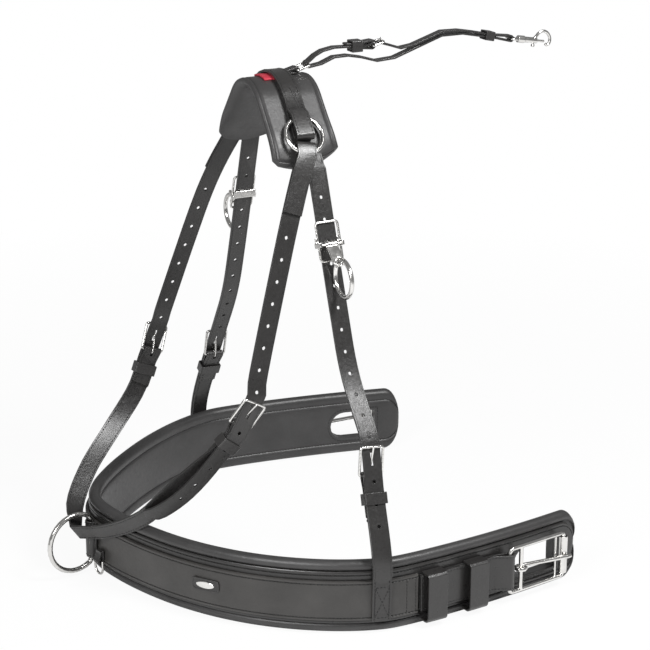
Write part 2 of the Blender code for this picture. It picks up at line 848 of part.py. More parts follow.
def make_trace_tongue(line, paint):
    frame, length = trace_frame(line)
    pivot = CHAPE_BAR_FROM_END - TONGUE_BAR_FROM_END
    wrap = TRACE_BAR_RADIUS + GAP + TRACE_TONGUE_RADIUS
    rest = ROLLER_RADIUS + GAP + TRACE_TONGUE_RADIUS
    points = []
    for i in range(9):
        angle = -math.pi / 2 - TONGUE_WRAP * (1 - i / 8)
        points.append(Vector((pivot + wrap * math.cos(angle), 0, wrap * math.sin(angle))))
    points.append(Vector((pivot + wrap * 2, 0, -wrap / 2)))
    points.append(Vector((length, 0, rest)))
    points.append(Vector((length + ROLLER_RADIUS, 0, rest)))
    tongue = wire("trace_tongue", points, TRACE_TONGUE_RADIUS, paint, False, frame)
    near, far = pair(tongue, "trace_tongue")
    axis = frame @ Vector((pivot, 0, 0))
    hinge_origin(near, axis)
    hinge_origin(far, Vector((axis.x, -axis.y, axis.z)))


def make_trace_chape(line, paint):
    """Two layers that fold round the chape bar, with the bar's side of the fold at the buckle."""
    frame, _ = trace_frame(line)
    inner = TUG_INSIDE + TRACE_CHAPE_THICK / 2
    outer = inner + TRACE_CHAPE_THICK + GAP
    fold = TRACE_BAR_RADIUS + GAP + TRACE_CHAPE_THICK / 2
    bar = line.near_end - CHAPE_BAR_FROM_END
    start = line.near_end - TUG_END_FROM_END + GAP * 2
    legs = [start] + line.between(start, bar - 4 * fold) + [bar - 4 * fold]
    places = [(s, inner) for s in legs]
    for i in range(9):
        angle = -math.pi / 2 + TRACE_FOLD_TURN * i / 8
        places.append((bar + fold * math.cos(angle), TRACE_BUCKLE_OUT + fold * math.sin(angle)))
    places += [(s, outer) for s in reversed(legs)]
    half = TRACE_CHAPE_HEIGHT / 2
    stations = [(line.place(s, out, -TUG_DROP), UP, half) for s, out in places]
    pair(strip("tug_chape", stations, TRACE_CHAPE_THICK, paint), "tug_chape")


def make_box_keeper(line, from_end, piece, paint):
    """A channel over the tug chape whose two edges are sewn down to the cover."""
    s = line.near_end - from_end
    point, along, outward = line.at(s)
    frame = frame_of(line.place(s, COVER_INSIDE + COVER_THICK + GAP * 2, -TUG_DROP), UP, outward)
    inner = TRACE_CHAPE_HEIGHT / 2 + GAP * 2
    outer = inner + BOX_KEEPER_THICK
    depth = BOX_KEEPER_DEPTH
    corner = BOX_KEEPER_THICK
    sunk = depth - BOX_KEEPER_THICK
    bend = BOX_KEEPER_BEND
    outline = [(inner, sunk), (inner, 0), (outer, 0), (outer, depth - corner), (outer - corner, depth)]
    turns = [math.pi / 2 * (1 + i / 4) for i in range(5)]
    centre_up = bend - outer - BOX_KEEPER_SAG
    centre_out = depth - bend
    for angle in turns:
        outline.append((centre_up + bend * math.cos(angle), centre_out + bend * math.sin(angle)))
    outline += [(centre_up - bend, 0), (centre_up - bend + BOX_KEEPER_THICK, 0)]
    tight = bend - BOX_KEEPER_THICK
    for angle in reversed(turns):
        outline.append((centre_up + tight * math.cos(angle), centre_out + tight * math.sin(angle)))
    pair(plate("box_keeper", [outline], BOX_KEEPER_LENGTH, paint, frame), piece)


def make_plate(line, paint):
    s = PLATE_ALONG
    half = PLATE_LENGTH / 2
    outline = [
        (point.x, point.y)
        for point in rounded_rectangle(s - half, s + half, PLATE_HEIGHT / 2, PLATE_HEIGHT / 4)
    ]
    body = band_plate("front_plate", [outline], TUG_OUTSIDE + GAP, PLATE_THICK, paint)
    inset = half - PLATE_BORDER
    hollow = [
        (point.x, point.y)
        for point in rounded_rectangle(
            s - inset, s + inset, PLATE_HEIGHT / 2 - PLATE_BORDER, PLATE_HEIGHT / 4 - PLATE_BORDER / 2
        )
    ]
    sunk = TUG_OUTSIDE + GAP + PLATE_THICK - PLATE_RIM
    combine(body, band_plate("plate_hollow", [hollow], sunk, OVERRUN, None), "DIFFERENCE")
    return line.bend(body)


def chest_axis(line):
    """Where the straight bar of the chest ring runs through its leather loop."""
    return line.place(FRONT_MIDDLE, TUG_OUTSIDE + GAP * 2 + CHEST_RING_WIRE, 0)


def ring_direction():
    return Vector((-math.cos(CHEST_RING_TURN), math.sin(CHEST_RING_TURN), 0))


def make_chest_ring(line, paint):
    """A large round dee: its straight bar is at X zero and its bow reaches out along X."""
    axis = chest_axis(line)
    frame = frame_of(axis, ring_direction(), UP)
    bow = math.pi - math.acos(CHEST_BAR_FROM_MIDDLE / CHEST_RING_RADIUS)
    half_bar = CHEST_RING_RADIUS * math.sin(bow) - CHEST_BAR_BEND
    path = [Vector((0, -half_bar, 0))]
    turn = bow - CHEST_BAR_BEND / CHEST_RING_RADIUS
    for i in range(CHEST_RING_STEPS + 1):
        angle = -turn + 2 * turn * i / CHEST_RING_STEPS
        x = CHEST_BAR_FROM_MIDDLE + CHEST_RING_RADIUS * math.cos(angle)
        path.append(Vector((x, CHEST_RING_RADIUS * math.sin(angle), 0)))
    path.append(Vector((0, half_bar, 0)))
    ring = settled(wire("chest_ring", path, CHEST_RING_WIRE, paint, True, frame))
    hinge_origin(ring, axis)


def make_front_loop(line, paint):
    """A leather piece with two sewn wings and a hump over the ring's bar."""
    low = TUG_OUTSIDE + GAP + LOOP_THICK / 2
    hump = LOOP_INNER + LOOP_THICK / 2
    rise = TUG_OUTSIDE + GAP * 2 + CHEST_RING_WIRE
    places = [(-LOOP_WING, low), (-hump, low)]
    for i in range(7):
        angle = math.pi - math.pi * i / 6
        places.append((hump * math.cos(angle), rise + hump * math.sin(angle)))
    places += [(hump, low), (LOOP_WING, low)]
    stations = [(line.place(FRONT_MIDDLE + s, out, 0), UP, LOOP_HEIGHT / 2) for s, out in places]
    strip("front_loop", stations, LOOP_THICK, paint)


def front_dee_fold():
    fold = FRONT_DEE_WIRE + GAP * 2 + LOOP_THICK / 2
    return TUG_OUTSIDE + GAP * 2 + LOOP_THICK / 2, fold


def make_front_tab(line, paint):
    """A short strap sewn to the front that hangs over the band's lower edge and holds the small dee."""
    low, fold = front_dee_fold()
    places = [(low, FRONT_TAB_TOP), (low, FRONT_TAB_JOIN)]
    for i in range(7):
        angle = math.pi + math.pi * i / 6
        places.append((low + fold + fold * math.cos(angle), FRONT_DEE_HEIGHT + fold * math.sin(angle)))
    outer = low + LOOP_THICK + GAP
    places += [(outer, FRONT_TAB_JOIN), (outer, FRONT_TAB_TOP)]
    along = line.at(FRONT_DEE_ALONG)[1]
    half = FRONT_DEE_WIDTH / 2 - FRONT_DEE_WIRE * 2
    stations = [(line.place(FRONT_DEE_ALONG, out, z), along, half) for out, z in places]
    strip("front_tab", stations, LOOP_THICK, paint)


def make_front_dee(line, paint):
    low, fold = front_dee_fold()
    axis = line.place(FRONT_DEE_ALONG, low + fold, FRONT_DEE_HEIGHT)
    along = line.at(FRONT_DEE_ALONG)[1]
    frame = frame_of(axis, -UP, along)
    half = FRONT_DEE_WIDTH / 2
    path = [Vector((0, half, 0))]
    for i in range(7):
        angle = math.pi / 2 - math.pi * i / 6
        straight = FRONT_DEE_DROP - half
        path.append(Vector((straight + half * math.cos(angle), half * math.sin(angle), 0)))
    path.append(Vector((0, -half, 0)))
    dee = settled(wire("front_dee", path, FRONT_DEE_WIRE, paint, True, frame))
    hinge_origin(dee, axis)


PAD_ROWS = [share * PAD_SIDE_REACH for share in PAD_ALONG_SHARES]


def crown(x, s, height):
    """A place on the near side of the neck pad, s down from the crest."""
    turn = min(s / PAD_CROWN_RADIUS, PAD_SIDE_ANGLE)
    run = max(s - PAD_CROWN_RADIUS * PAD_SIDE_ANGLE, 0)
    radius = PAD_CROWN_RADIUS + height
    y = radius * math.sin(turn) + run * math.cos(PAD_SIDE_ANGLE)
    z = radius * math.cos(turn) - PAD_CROWN_RADIUS - run * math.sin(PAD_SIDE_ANGLE)
    return Vector((x, -y, z))


def arch(x, s, height):
    """The same on either side, on flat stretches between the pad's rows, near side positive."""
    reach = abs(s)
    place = crown(x, reach, height)
    for low, high in zip(PAD_ROWS, PAD_ROWS[1:]):
        if low <= reach < high:
            share = (reach - low) / (high - low)
            place = crown(x, low, height).lerp(crown(x, high, height), share)
    place.y = place.y if s > 0 else -place.y
    return place


def rows_between(low, high):
    return [row for row in PAD_ROWS if low + WELD < row < high - WELD]


def make_pad(paint):
    """A plate of leather on top of a filled lining that swells to its full thickness inside."""
    half_shares = PAD_ALONG_SHARES
    rows = [-share for share in reversed(half_shares[1:])] + list(half_shares)
    bm = bmesh.new()
    bmesh.ops.create_grid(bm, x_segments=PAD_ACROSS_STEPS, y_segments=len(rows) - 1, size=1)
    top = list(bm.verts)
    place = {}
    for vert in top:
        row = round((vert.co.y + 1) / 2 * (len(rows) - 1))
        place[vert] = (vert.co.x, rows[row])
    made = bmesh.ops.extrude_face_region(bm, geom=bm.faces[:])
    lower = [item for item in made["geom"] if isinstance(item, bmesh.types.BMVert)]
    spots = {(round(v.co.x, 5), round(v.co.y, 5)): place[v] for v in top}
    for vert in lower:
        place[vert] = spots[(round(vert.co.x, 5), round(vert.co.y, 5))]
    below = set(lower)
    for vert in list(bm.verts):
        u, v = place[vert]
        narrowing = PAD_CORNER * max(abs(v) * PAD_SIDE_REACH - (PAD_SIDE_REACH - PAD_CORNER), 0) / PAD_CORNER
        rearward = max(u, 0) * v**4
        x = u * (PAD_LENGTH / 2 - narrowing) + PAD_REAR_FLARE * rearward
        s = v * (PAD_SIDE_REACH + PAD_TIP_BULGE * (1 - u * u) * v * v - PAD_REAR_RAISE * rearward)
        swell = (1 - u**4) * (1 - v**6)
        top_height = PAD_THICK - PAD_TIP_DROP * (max(abs(v) - PAD_TIP_SHARE, 0) / (1 - PAD_TIP_SHARE)) ** 2
        height = (top_height - PAD_EDGE_THICK) * (1 - swell) if vert in below else top_height
        vert.co = arch(x, s if s else 0.0, height)
    bmesh.ops.recalc_face_normals(bm, faces=bm.faces)
    mesh = bpy.data.meshes.new("neck_pad")
    bm.to_mesh(mesh)
    bm.free()
    return link("neck_pad", mesh, paint)


PAD_TOP = PAD_THICK + GAP
UNDERLAY_MIDDLE = PAD_TOP + STRAP_THICK / 2
CENTRE_MIDDLE = UNDERLAY_MIDDLE + STRAP_THICK + GAP * 2
RING_HEIGHT = UNDERLAY_MIDDLE + FOLD_LEG


def make_neck_rings(paint):
    centre = arch(0, NECK_RING_REACH, RING_HEIGHT)
    down = (arch(0, NECK_RING_REACH + NECK_RING_RADIUS, RING_HEIGHT) - centre).normalized()
    frame = frame_of(centre, REARWARD, down)
    ring = wire("neck_ring", ring_points(NECK_RING_RADIUS, 24), NECK_RING_WIRE, paint, True, frame)
    near, far = pair(ring, "neck_ring")
    hinge_origin(near, centre)
    hinge_origin(far, Vector((centre.x, -centre.y, centre.z)))


def make_centre_strap(paint):
    """One strap over the crest whose ends fold through both neck rings and run back underneath."""
    half = STRAP_WIDTH / 2
    fold = NECK_RING_REACH + CENTRE_FOLD_PAST_RING_MIDDLE - FOLD_LEG
    side = [(CENTRE_UNDERLAY_END, UNDERLAY_MIDDLE)]
    for row in rows_between(CENTRE_UNDERLAY_END, fold - FOLD_LEG):
        side.append((row, UNDERLAY_MIDDLE))
    for i in range(7):
        angle = -math.pi / 2 + math.pi * i / 6
        side.append((fold + FOLD_LEG * math.cos(angle), RING_HEIGHT + FOLD_LEG * math.sin(angle)))
    wire_top = NECK_RING_REACH - NECK_RING_RADIUS - NECK_RING_WIRE
    side.append((wire_top, RING_HEIGHT + FOLD_LEG))
    side.append((wire_top - 2 * FOLD_LEG, CENTRE_MIDDLE))
    for row in reversed(rows_between(0, wire_top - 2 * FOLD_LEG)):
        side.append((row, CENTRE_MIDDLE))
    path = [(s, h) for s, h in side] + [(0.0, CENTRE_MIDDLE)] + [(-s, h) for s, h in reversed(side)]
    stations = [(arch(0, s, h), REARWARD, half) for s, h in path]
    return strip("centre_strap", stations, STRAP_THICK, paint)


def crest_dee_bar():
    fold = CREST_DEE_WIRE + GAP + CREST_CHAPE_THICK / 2
    return Vector((CREST_DEE_X, 0, PAD_TOP + CREST_CHAPE_THICK / 2 + fold))


def crest_dee_rear_bar():
    tilt = Vector((math.cos(CREST_DEE_TILT), 0, math.sin(CREST_DEE_TILT)))
    return crest_dee_bar() + tilt * CREST_DEE_LENGTH


def make_crest(leather_paint, red_paint, steel_paint):
    side = Vector((0, 1, 0))
    bar = crest_dee_bar()
    fold = CREST_DEE_WIRE + GAP + CREST_CHAPE_THICK / 2
    low = PAD_TOP + CREST_CHAPE_THICK / 2
    places = [(CREST_CHAPE_TAIL_X, low), (bar.x / 2, low)]
    for i in range(7):
        angle = -math.pi / 2 + math.pi * i / 6
        places.append((bar.x + fold * math.cos(angle), bar.z + fold * math.sin(angle)))
    strap_edge = STRAP_WIDTH / 2 + GAP * 2
    places.append((strap_edge, low + CREST_CHAPE_THICK + GAP * 2))
    stations = [(Vector((x, 0, z)), side, CREST_CHAPE_WIDTH / 2) for x, z in places]
    strip("dee_chape", stations, CREST_CHAPE_THICK, leather_paint)
    rear = CREST_CHAPE_TAIL_X - GAP * 2
    tab_x = (rear + rear - CREST_TAB_LENGTH) / 2
    tab = []
    side_rows = rows_between(0, CREST_TAB_WIDTH / 2) + [CREST_TAB_WIDTH / 2]
    for s in [-row for row in reversed(side_rows)] + [0] + side_rows:
        tab.append((arch(tab_x, s, low), REARWARD, CREST_TAB_LENGTH / 2))
    strip("crest_tab", tab, CREST_CHAPE_THICK, red_paint)
    frame = frame_of(bar, crest_dee_rear_bar() - bar, side)
    path = rounded_rectangle(0, CREST_DEE_LENGTH, CREST_DEE_HALF_WIDTH, CREST_DEE_WIRE * 1.5)
    dee = settled(wire("crest_dee", path, CREST_DEE_WIRE, steel_paint, True, frame))
    hinge_origin(dee, bar)


def fold_route(turn):
    """The ring's own directions for a strap that leaves it, turned towards the rear."""
    centre = arch(0, NECK_RING_REACH, RING_HEIGHT)
    down = (arch(0, NECK_RING_REACH + NECK_RING_RADIUS, RING_HEIGHT) - centre).normalized()
    outward = down.cross(REARWARD)
    radial = down * math.cos(turn) + REARWARD * math.sin(turn)
    across = REARWARD * math.cos(turn) - down * math.sin(turn)
    return centre, radial, across, outward


def bar_place(first, tongue):
    """How far down a route the buckle's bar is."""
    return first + HOLE_PITCH * (tongue - 1) + BUCKLE_LENGTH * HOLE_TO_BAR_SHARE


def straighten_at_buckle(route, bar):
    route.straighten(bar - BUCKLE_LENGTH - 3 * BUCKLE_WIRE, bar + CHAPE_STRAIGHT)
    route.straighten(bar + KEEPER_BELOW_BAR - KEEPER_LENGTH, bar + KEEPER_BELOW_BAR + KEEPER_LENGTH)


def rear_route(line):
    """From under the front strap, below the neck ring, down to the band."""
    arc = line.arc_at_x(REAR_STRAP_X)
    top = line.place(arc, STRAP_OUT_AT_BAND, PADDING_HEIGHT / 2 + STRAP_THICK)
    bottom = line.place(arc, STRAP_OUT_AT_BAND, -TUG_HEIGHT / 2 - TUG_DROP)
    points = [point.copy() for point in REAR_TOP]
    for down, out, forward in REAR_ROUTE_SHARES:
        spread = REAR_START.lerp(top, out)
        place = REAR_START.lerp(top, down)
        points.append(Vector((place.x + REAR_BULGE * forward, spread.y, place.z)))
    hints = [REARWARD] * len(points)
    points += [top, bottom]
    hints += [line.at(arc)[1], line.at(arc)[1]]
    route = Route(points, hints)
    straighten_at_buckle(route, bar_place(REAR_FIRST_HOLE, REAR_TONGUE_HOLE))
    terret = REAR_FIRST_HOLE + HOLE_PITCH * (TERRET_HOLE - 1)
    route.straighten(terret - TERRET_STRAIGHT / 2, terret + TERRET_STRAIGHT / 2)
    return route


def chest_pass(line):
    """Where the vee strap runs through the chest ring."""
    return chest_axis(line) + ring_direction() * RING_PASS_OUT + UP * RING_PASS_RISE


def pass_across(side):
    """Across the vee strap where it runs through the chest ring: down, and leaning in to the band."""
    inward = -ring_direction()
    return -UP * math.cos(RING_PASS_LEAN) + Vector((inward.x, inward.y * side, 0)) * math.sin(RING_PASS_LEAN)


def front_route(line, side, arm_shares, twist_share):
    """From the neck ring over the front buckle and down the vee strap's arm to the chest ring."""
    centre, radial, across, outward = fold_route(FRONT_FOLD_TURN)
    inner = centre - outward * FOLD_LEG
    straight = NECK_RING_RADIUS + NECK_RING_WIRE + FOLD_LEG
    points = [inner + radial * FOLD_APEX, inner + radial * straight]
    hints = [across, across]
    reach = FRONT_BUCKLE - FRONT_START
    for x, y, z in FRONT_ROUTE_SHARES:
        points.append(FRONT_START + Vector((reach.x * x, reach.y * y, reach.z * z)))
        hints.append(REARWARD)
    points.append(FRONT_BUCKLE.copy())
    hints.append(REARWARD)
    target = chest_pass(line)
    target.y *= side
    reach = target - FRONT_BUCKLE
    for x, y, z in arm_shares:
        bulge = ARM_BULGE * math.sin(math.pi * z)
        points.append(FRONT_BUCKLE + Vector((reach.x * x, reach.y * y - bulge, reach.z * z)))
        hints.append(REARWARD.lerp(pass_across(side), min(max(x - twist_share, 0) * 2, 1)))
    points.append(target)
    hints.append(pass_across(side))
    route = Route(points, hints)
    route.straighten(0, route.marks[1])
    straighten_at_buckle(route, bar_place(FRONT_FIRST_HOLE, FRONT_TONGUE_HOLE))
    return route


BAR_UNDER = STRAP_THICK / 2 + LAYER_GAP + LINING_THICK + GAP + BUCKLE_WIRE
BAR_OVER = STRAP_THICK / 2 + GAP + BUCKLE_WIRE
CHAPE_FOLD = BUCKLE_WIRE + GAP + LINING_THICK / 2
BILLET_OUT = -STRAP_THICK / 2 - LAYER_GAP - LINING_THICK / 2
RETURN_OUT = BILLET_OUT - LINING_THICK - LAYER_GAP


def buckle_frame(route, bar):
    """The buckle's own axes: X from its bar to its top, Y across, Z out."""
    low = route.place(bar, -BAR_UNDER)
    high = route.place(bar - BUCKLE_LENGTH, BAR_OVER)
    across = route.at(bar)[2]
    frame = frame_of(low, high - low, -across)
    return frame, (high - low).length


def make_buckle(near_route, far_route, bar, piece, paint):
    def block(route):
        frame, length = buckle_frame(route, bar)
        half = STRAP_WIDTH / 2 + BUCKLE_SIDE_PLAY + BUCKLE_WIRE
        path = rounded_rectangle(0, length, half, BUCKLE_CORNER)
        return wire(piece, path, BUCKLE_WIRE, paint, True, frame)

    sides(block, piece, near_route, far_route)


def tongue_line(length):
    """Start height and slope of the tongue in the buckle's own axes."""
    wrap = BUCKLE_WIRE + GAP + TONGUE_WIRE
    return wrap, (2 * wrap + GAP) / length


def make_tongue(near_route, far_route, bar, piece, paint):
    def block(route):
        frame, length = buckle_frame(route, bar)
        wrap, slope = tongue_line(length)
        points = []
        for i in range(9):
            angle = -math.pi / 2 - TONGUE_WRAP * (1 - i / 8)
            points.append(Vector((wrap * math.cos(angle), 0, wrap * math.sin(angle))))
        reach = length + TONGUE_OVERHANG
        points.append(Vector((reach, 0, -wrap + slope * reach)))
        return wire(piece, points, TONGUE_WIRE, paint, False, frame)

    near, far = sides(block, piece, near_route, far_route)
    hinge_origin(near, buckle_frame(near_route, bar)[0].translation)
    place = buckle_frame(far_route, bar)[0].translation
    hinge_origin(far, Vector((place.x, -place.y, place.z)))


def tongue_slot(route, bar, name):
    """A slot in the punched strap, long enough for the tongue at rest and lifted."""
    frame, length = buckle_frame(route, bar)
    wrap, slope = tongue_line(length)
    drop = (BAR_UNDER + BAR_OVER) / length
    spots = []
    for lift in (0, TONGUE_LIFT):
        angle = math.atan(slope) + lift
        start = wrap / math.cos(angle) if lift else wrap
        x = (BAR_UNDER + start) / (drop + math.tan(angle))
        steep = angle + math.atan(drop)
        half = TONGUE_WIRE / math.sin(steep) + STRAP_THICK / 2 / math.tan(steep) + GAP * 2
        spots += [x - half, x + half]
    low, high = min(spots), max(spots)
    width = 2 * (TONGUE_WIRE + GAP)
    point, along, across, outward = route.at(bar - (low + high) / 2)
    place = frame_of(point, along, across)
    return box(name, (high - low, width, OVERRUN), place, None)


def ring_fold(route):
    """The front strap's end, from its free edge on the outer face round the neck ring to the inner face."""
    half = STRAP_WIDTH / 2
    past = NECK_RING_RADIUS + NECK_RING_WIRE - FOLD_APEX
    stations = [route.station(CHAPE_RETURN, STRAP_THICK + GAP, half)]
    for d in reversed(grid_between(past + 3 * FOLD_LEG, CHAPE_RETURN)):
        stations.append(route.station(d, STRAP_THICK + GAP, half))
    stations.append(route.station(past + FOLD_LEG / 2, 2 * FOLD_LEG, half))
    for i in range(7):
        angle = math.pi / 2 + math.pi * i / 6
        d = FOLD_LEG + FOLD_LEG * math.cos(angle)
        stations.append(route.station(d, FOLD_LEG + FOLD_LEG * math.sin(angle), half))
    stations.append(route.station(past + FOLD_LEG / 2, 0, half))
    return stations


def strap_end(route, end):
    """The pointed free end of a strap."""
    half = STRAP_WIDTH / 2
    point = half * END_POINT_SHARE
    return [route.station(end - half + point, 0, half), route.station(end, 0, point)]


def free_length_shift(d, bar, end, height):
    """How far a strap's free length below the keeper, or what it lies along, stands up or hangs down."""
    low = bar + KEEPER_BELOW_BAR + KEEPER_LENGTH / 2
    share = min(max((d - low) / (end - low), 0), 1)
    return UP * height * math.sin(math.pi * share)


def punched_strap(route, piece, top, row, sag, paint):
    """A neck strap with its row of holes; top is what it has above its first even station."""
    holes, first, tongue, tail = row
    half = STRAP_WIDTH / 2
    bar = bar_place(first, tongue)
    end = first + HOLE_PITCH * (holes - 1) + tail
    stations = list(top)
    start = NECK_RING_RADIUS + NECK_RING_WIRE - FOLD_APEX + 3 * FOLD_LEG if len(top) > 1 else 0
    for d in grid_between(start, end - half):
        place, across, _ = route.station(d, 0, half)
        stations.append((place + free_length_shift(d, bar, end, sag), across, half))
    stations += strap_end(route, end)
    strap = strip(piece, stations, STRAP_THICK, paint)
    strap = settled(strap)
    punches = []
    for i in range(holes):
        if i + 1 == tongue:
            continue
        d = first + HOLE_PITCH * i
        shift = free_length_shift(d, bar, end, sag)
        low = route.place(d, -OVERRUN) + shift
        high = route.place(d, OVERRUN) + shift
        punches.append(cylinder(f"{piece}_hole_{i + 1}", low, high, HOLE_RADIUS, None, HOLE_SIDES))
    for cutter in punches:
        combine(strap, cutter, "DIFFERENCE")
    combine(strap, tongue_slot(route, bar, piece + "_slot"), "DIFFERENCE")
    return strap


def grid_between(low, high):
    """Distances at which every layer of a strap has an edge."""
    first = math.floor(low / STATION_PITCH) + 1
    last = math.ceil(high / STATION_PITCH) - 1
    return [STATION_PITCH * i for i in range(first, last + 1)]


def fold_stations(route, bar, half):
    """A chape's fold round the buckle's bar, from its inner leg over the top to its outer leg."""
    frame, _ = buckle_frame(route, bar)
    across = route.at(bar)[2]
    start = bar + CHAPE_LEG_START
    legs = [start] + grid_between(start + STATION_PITCH / 2, bar + CHAPE_TAIL) + [bar + CHAPE_TAIL]
    stations = [route.station(d, RETURN_OUT, half) for d in reversed(legs)]
    inward = -route.at(bar)[3]
    down = route.at(bar)[1]
    for i in range(7):
        angle = math.pi * i / 6
        turn = inward * math.cos(angle) - down * math.sin(angle)
        place = frame.translation + turn * CHAPE_FOLD
        stations.append((place, across, half))
    return stations


def chape_cut(route, bar, name):
    frame = frame_of(route.place(bar, -BAR_UNDER), route.at(bar)[1], route.at(bar)[2])
    width = 2 * (TONGUE_WIRE + GAP)
    depth = 2 * (CHAPE_FOLD + LINING_THICK)
    return box(name, (2 * CHAPE_SLOT_REACH, width, depth), frame, None)


def make_rear_billet(route, bar, paint):
    half = STRAP_WIDTH / 2
    stations = fold_stations(route, bar, half)
    for d in grid_between(bar + CHAPE_FOLD * 2, route.length - STATION_PITCH / 2):
        stations.append(route.station(d, BILLET_OUT, half))
    stations.append(route.station(route.length, BILLET_OUT, half))
    billet = strip("rear_billet", stations, LINING_THICK, paint)
    billet = settled(billet)
    combine(billet, chape_cut(route, bar, "rear_chape_cut"), "DIFFERENCE")
    pair(billet, "rear_billet")


def flip_side(stations):
    """The far side's stations of a strap that is given on the near side."""
    return [
        (Vector((p.x, -p.y, p.z)), Vector((a.x, -a.y, a.z)), half) for p, a, half in stations
    ]


def make_vee_strap(near_route, far_route, bar, strap_end_at, paint):
    """One strap from the near buckle through the chest ring to the far buckle."""
    half = STRAP_WIDTH / 2

    def arm(route, end, rise):
        stations = fold_stations(route, bar, half)
        for d in grid_between(bar + CHAPE_FOLD * 2, route.length - STATION_PITCH / 2):
            ease = min((route.length - d) / (route.length - end - STATION_PITCH), 1)
            place, across, _ = route.station(d, BILLET_OUT * ease, half)
            stations.append((place + free_length_shift(d, bar, end, rise), across, half))
        return stations

    near = arm(near_route, strap_end_at, ARM_RISE)
    far = flip_side(arm(far_route, strap_end_at, 0))
    middle = [near_route.station(near_route.length, 0, half)]
    vee = settled(strip("vee_strap", near + middle + far[::-1], LINING_THICK, paint))
    combine(vee, chape_cut(near_route, bar, "near_chape_cut"), "DIFFERENCE")
    far_cut = mirrored(settled(chape_cut(far_route, bar, "far_chape_block")), "far_chape_cut")
    bpy.data.objects.remove(bpy.data.objects["far_chape_block"])
    combine(vee, far_cut, "DIFFERENCE")
    return vee


def make_keeper(near_route, far_route, d, piece, paint):
    top = STRAP_THICK / 2 + KEEPER_PLAY
    bottom = RETURN_OUT - LINING_THICK / 2 - KEEPER_PLAY
    half = STRAP_WIDTH / 2 + KEEPER_PLAY
    inner = [(-half, bottom), (half, bottom), (half, top), (-half, top)]
    wide = half + KEEPER_THICK
    low = bottom - KEEPER_THICK
    high = top + KEEPER_THICK
    cut = KEEPER_THICK / 2
    outer = [
        (cut - wide, low), (wide - cut, low), (wide, low + cut), (wide, high - cut),
        (wide - cut, high), (cut - wide, high), (-wide, high - cut), (-wide, low + cut),
    ]

    def block(route):
        point, _, across, outward = route.at(d)
        return plate(piece, [outer, inner], KEEPER_LENGTH, paint, frame_of(point, across, outward))

    sides(block, piece, near_route, far_route)


